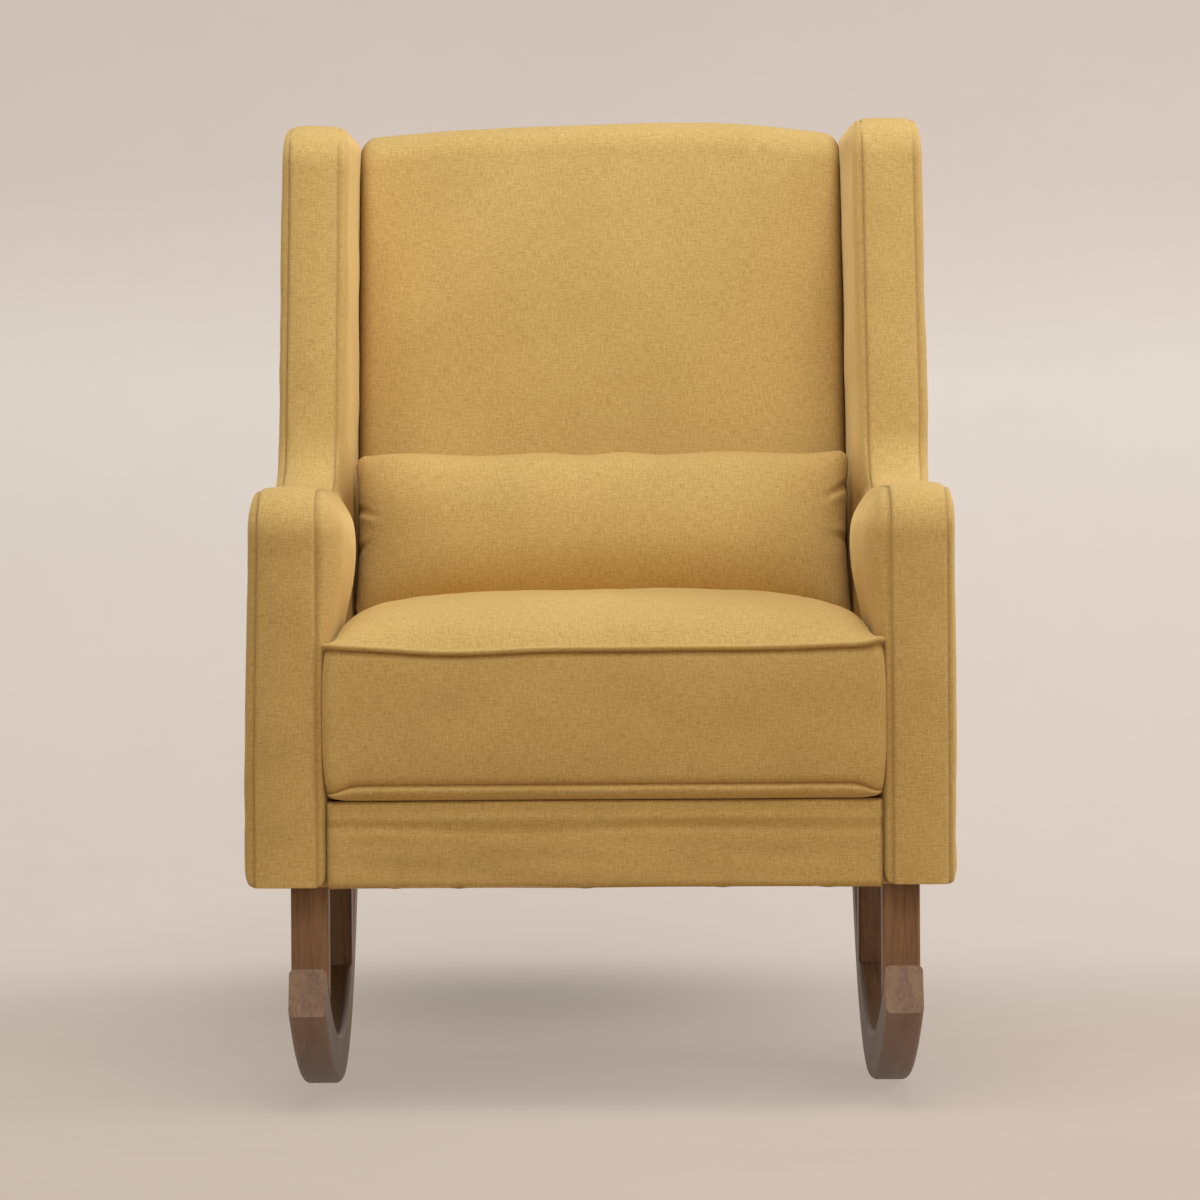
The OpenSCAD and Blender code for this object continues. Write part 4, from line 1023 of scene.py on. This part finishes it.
def placePillow(co):
    s = pillow
    a, b, k = closer(co[:, 0] * 2 - 1, s["closer"]), closer(co[:, 1] * 2 - 1, s["closer"]), co[:, 2]
    pa, pb, f = rounded(a, b, s["rx"], s["ry"])
    half = backWidth(s["off"], s["up"]) - s["ends"]
    # all four seams are drawn in between the corners
    x = f * pa * half * (1 - s["draw"] / half * (1 - pb ** 2) * f)
    z = f * pb * s["tall"] / 2 * (1 - s["draw"] / 2 / s["tall"] * (1 - pa ** 2) * f)
    puff = s["thick"] / 2 * np.maximum(0, 1 - np.abs(f * pa) ** 4) ** 0.6 \
        * np.maximum(0, 1 - np.abs(f * pb) ** 2.4) ** 0.6
    # gathers run in from the end seams, and a few light ones from the long seams
    fromEnd, fromEdge = half - np.abs(x), s["tall"] / 2 - np.abs(z)
    hand = np.sign(x)
    gather = np.sin(z / 0.0062 + hand * 1.3 + 2 * np.sin(z / 0.021)) * bump(fromEnd, 0.010, 0.016)
    fold, tuckIn = 0, 0
    for way, height, deep, reach, wide, slope in s["folds"]:
        across = z - height - slope * fromEnd
        here = np.where(hand == way, bump(fromEnd, 0, reach), 0) * fade(fromEnd, 0, 0.006)
        fold = fold + deep * here * (0.55 * bump(np.abs(across), wide * 1.9, wide)
                                     - bump(across, 0, wide))
        tuckIn = tuckIn + np.where(hand == way, s["foldIn"], 0) * bump(z, height, wide * 1.4) \
            * bump(fromEnd, 0, s["foldInReach"])
    x = x - hand * tuckIn
    crease = np.sin(x / 0.012 + 2.3 * np.sin(x / 0.05)) * bump(fromEdge, 0.006, 0.014)
    near = np.clip(puff / 0.02, 0, 1)
    puff = puff + near * (s["gather"] * gather + s["crease"] * crease
                          + unevenness(np.stack([x, z, k], 1), s["waves"], 71) + fold)
    edgeWave = s["edgeWave"] * np.sin(x / 0.018 + np.sin(x / 0.05)) * bump(fromEdge, 0, 0.02)
    z = z + np.sign(z) * edgeWave
    y = np.where(k > 0.5, -puff, puff)
    turn = back["rake"] - s["rake"]
    worldY, worldZ = onBack(s["off"] + y * math.cos(turn) - z * math.sin(turn),
                            s["up"] + y * math.sin(turn) + z * math.cos(turn))
    # painted shade: darker at the ends, less so towards the top, and faintly along the long seams
    start, span, much = s["endShadeFades"]
    seam = np.maximum(
        s["endShadeTone"] * bump(fromEnd, 0, s["endShadeReach"]) * (1 - much * fade(z, start, span)),
        s["seamTone"] * bump(fromEdge, 0, s["seamReach"]))
    return np.stack([x, worldY, worldZ], 1), seam


def makePillow():
    bm = leaves(pillow["across"], pillow["along"])
    seam = dict(zip(bm.verts, warp(bm, placePillow)))
    bmesh.ops.remove_doubles(bm, verts=bm.verts, dist=0.0001)
    piece = pieceFrom("lumbarPillow", bm, "lumbar_pillow", "upholstery", ["lumbar_pillow"],
                      [seam[v] for v in bm.verts])


makePillow()
print("lumbar pillow is made")


# Floor, backdrop and light

studio = {
    "floor": linear(184, 166, 148),
    # the wall's glow up its height, with painted light: paler at mid height, and by the lean below
    # paler towards the right
    "wall": [(0.0, linear(218, 204, 193)), (0.25, linear(221, 208, 197)),
             (0.58, linear(227, 216, 206)), (0.80, linear(214, 200, 189)),
             (1.0, linear(210, 196, 185))],
    "wallTop": 1.45, "lean": 0.036, "mottle": (0.965, 0.965, 0.965, 1),
    # where the floor's lit colour gives way to the wall's own, and how much of that it starts with
    "wallFrom": 0.3, "wallFull": 2.7, "wallShare": 0.62,
    # a painted shadow darkens the floor softly behind the chair: middle, reach and how much
    "shadeMid": (-0.12, 1.25), "shadeReach": (0.42, 0.84), "shade": 0.46,
    # the sheet: its front end, where its curve begins, the curve's radius, its top and half width
    "front": -14.0, "curveFrom": 2.1, "curve": 0.9, "high": 9.0, "half": 9.0, "steps": 24,
    "worldColour": (1.0, 0.93, 0.76, 1), "worldStrength": 0.14,
    "aim": (0, 0, 0.5),
}


def plaster(name):
    # the floor takes light and shadow, and a painted shadow deepens it behind the chair; up the
    # wall the camera sees a pale glow, with painted light graded over it
    paint = Paint(name, roughness=0.9, specular=0.1)
    place = paint.split(paint.place)
    cloudy = paint.grain(paint.mapped(paint.place, (0.7, 1, 1.6)), 1.6, 5.0, 0.62, 0.5)
    fine = paint.grain(paint.place, 16.0, 4.0, 0.6)
    mottle = paint.ramp(paint.shares(cloudy, 0.75, fine, 0.25),
                        (0.36, studio["mottle"]), (0.64, white))
    away = []
    # the painted shadow behind the chair, which dims the glow
    for axis in (0, 1):
        off = paint.math("SUBTRACT", place[axis], studio["shadeMid"][axis])
        off = paint.math("DIVIDE", off, studio["shadeReach"][axis])
        away.append(paint.math("MULTIPLY", off, off))
    patch = paint.math("EXPONENT", paint.math("MULTIPLY", paint.math("ADD", *away), -1.0))
    kept = paint.math("MULTIPLY_ADD", patch, -studio["shade"], 1.0)
    level = paint.math("MULTIPLY_ADD", place[0], studio["lean"], 1.0)
    height = paint.math("DIVIDE", place[2], studio["wallTop"])
    glow = paint.add("ShaderNodeEmission", {
        "Color": paint.multiplied(paint.ramp(height, *studio["wall"]), mottle),
        "Strength": paint.math("MULTIPLY", level, kept)})[0]
    rays = paint.add("ShaderNodeLightPath", {})
    seen = paint.math("MAXIMUM", rays["Is Camera Ray"],
                      paint.math("MAXIMUM", rays["Is Glossy Ray"], rays["Is Transmission Ray"]))
    rise = paint.add("ShaderNodeMapRange", {
        "Value": place[1], "From Min": studio["wallFrom"], "From Max": studio["wallFull"],
        "To Min": studio["wallShare"]}, interpolation_type="SMOOTHERSTEP")["Result"]
    paint.finish(paint.multiplied(studio["floor"], mottle))
    both = paint.mixedShader(paint.math("MULTIPLY", seen, rise), paint.shader.outputs[0], glow)
    # from behind, the wall lets the camera see through it
    behind = paint.add("ShaderNodeNewGeometry", {})["Backfacing"]
    clear = paint.add("ShaderNodeBsdfTransparent", {})[0]
    paint.feed(paint.nodes["Material Output"], {"Surface": paint.mixedShader(behind, both, clear)})
    return paint.material


def makeStage():
    # a floor that curves up into the wall behind the chair
    bm = bmesh.new()
    start, radius, half = studio["curveFrom"], studio["curve"], studio["half"]
    profile = [(studio["front"], 0.0), (start, 0.0)]
    for step in range(1, studio["steps"] + 1):
        a = step / studio["steps"] * math.pi / 2
        profile.append((start + radius * math.sin(a), radius - radius * math.cos(a)))
    profile.append((start + radius, studio["high"]))
    verts = [bm.verts.new((-half, y, z)) for y, z in profile]
    edges = [bm.edges.new(pair) for pair in zip(verts, verts[1:])]
    made = bmesh.ops.extrude_edge_only(bm, edges=edges)
    bmesh.ops.translate(bm, vec=(2 * half, 0, 0),
                        verts=[v for v in made["geom"] if isinstance(v, bmesh.types.BMVert)])
    # the floor faces up and the wall faces the chair
    bm.normal_update()
    if min(bm.faces, key=lambda face: face.calc_center_median().z).normal.z < 0:
        bmesh.ops.reverse_faces(bm, faces=bm.faces)
    mesh = bpy.data.meshes.new("floor")
    bm.to_mesh(mesh)
    bm.free()
    floor = placed("floor", mesh, plaster("paleFloor"))


lamps = [
    # name, place, size, power and colour
    ("overhead", (0, -0.7, 3.8), 2.2, 88, (0.83, 0.93, 1.0)),
    ("topFront", (0.2, -3.0, 3.4), 1.8, 54, (1.0, 0.98, 0.90)),
    ("rightHigh", (2.8, -0.6, 2.6), 1.8, 20, (0.72, 0.84, 1.0)),
    ("rightRear", (3.2, 1.2, 1.9), 1.8, 28, (1.0, 0.99, 0.95)),
    ("rightSide", (3.4, -0.6, 1.0), 2.0, 14, (1.0, 0.82, 0.60)),
    ("leftSide", (-3.4, -0.6, 1.0), 2.0, 10, (1.0, 0.78, 0.55)),
    ("frontFill", (1.2, -5.0, 1.8), 2.0, 18, (1.0, 0.80, 0.45)),
]


def makeLamps():
    for name, place, size, power, colour in lamps:
        light = bpy.data.lights.new(name, "AREA")
        light.shape = "SQUARE"
        light.size = size
        light.energy = power
        light.color = colour
        holder = bpy.data.objects.new(name, light)
        way = Vector(studio["aim"]) - Vector(place)
        holder.matrix_world = (Matrix.Translation(place)
                               @ way.to_track_quat("-Z", "Y").to_matrix().to_4x4())
        bpy.context.scene.collection.objects.link(holder)


def makeWorld():
    # a dim sky lights the chair, and the camera sees a pale one
    world = bpy.data.worlds.new("studio")
    bpy.context.scene.world = world
    world.use_nodes = True
    tree = Nodes(world.node_tree)
    sky = tree.nodes["Background"]
    tree.feed(sky, {"Color": studio["worldColour"], "Strength": studio["worldStrength"]})
    pale = tree.add("ShaderNodeBackground", {"Color": studio["wall"][0][1]})[0]
    seen = tree.add("ShaderNodeLightPath", {})["Is Camera Ray"]
    tree.feed(tree.nodes["World Output"], {
        "Surface": tree.mixedShader(seen, sky.outputs[0], pale)})


makeStage()
makeLamps()
makeWorld()
bpy.context.scene.view_settings.view_transform = "Standard"
print("floor and light are made")
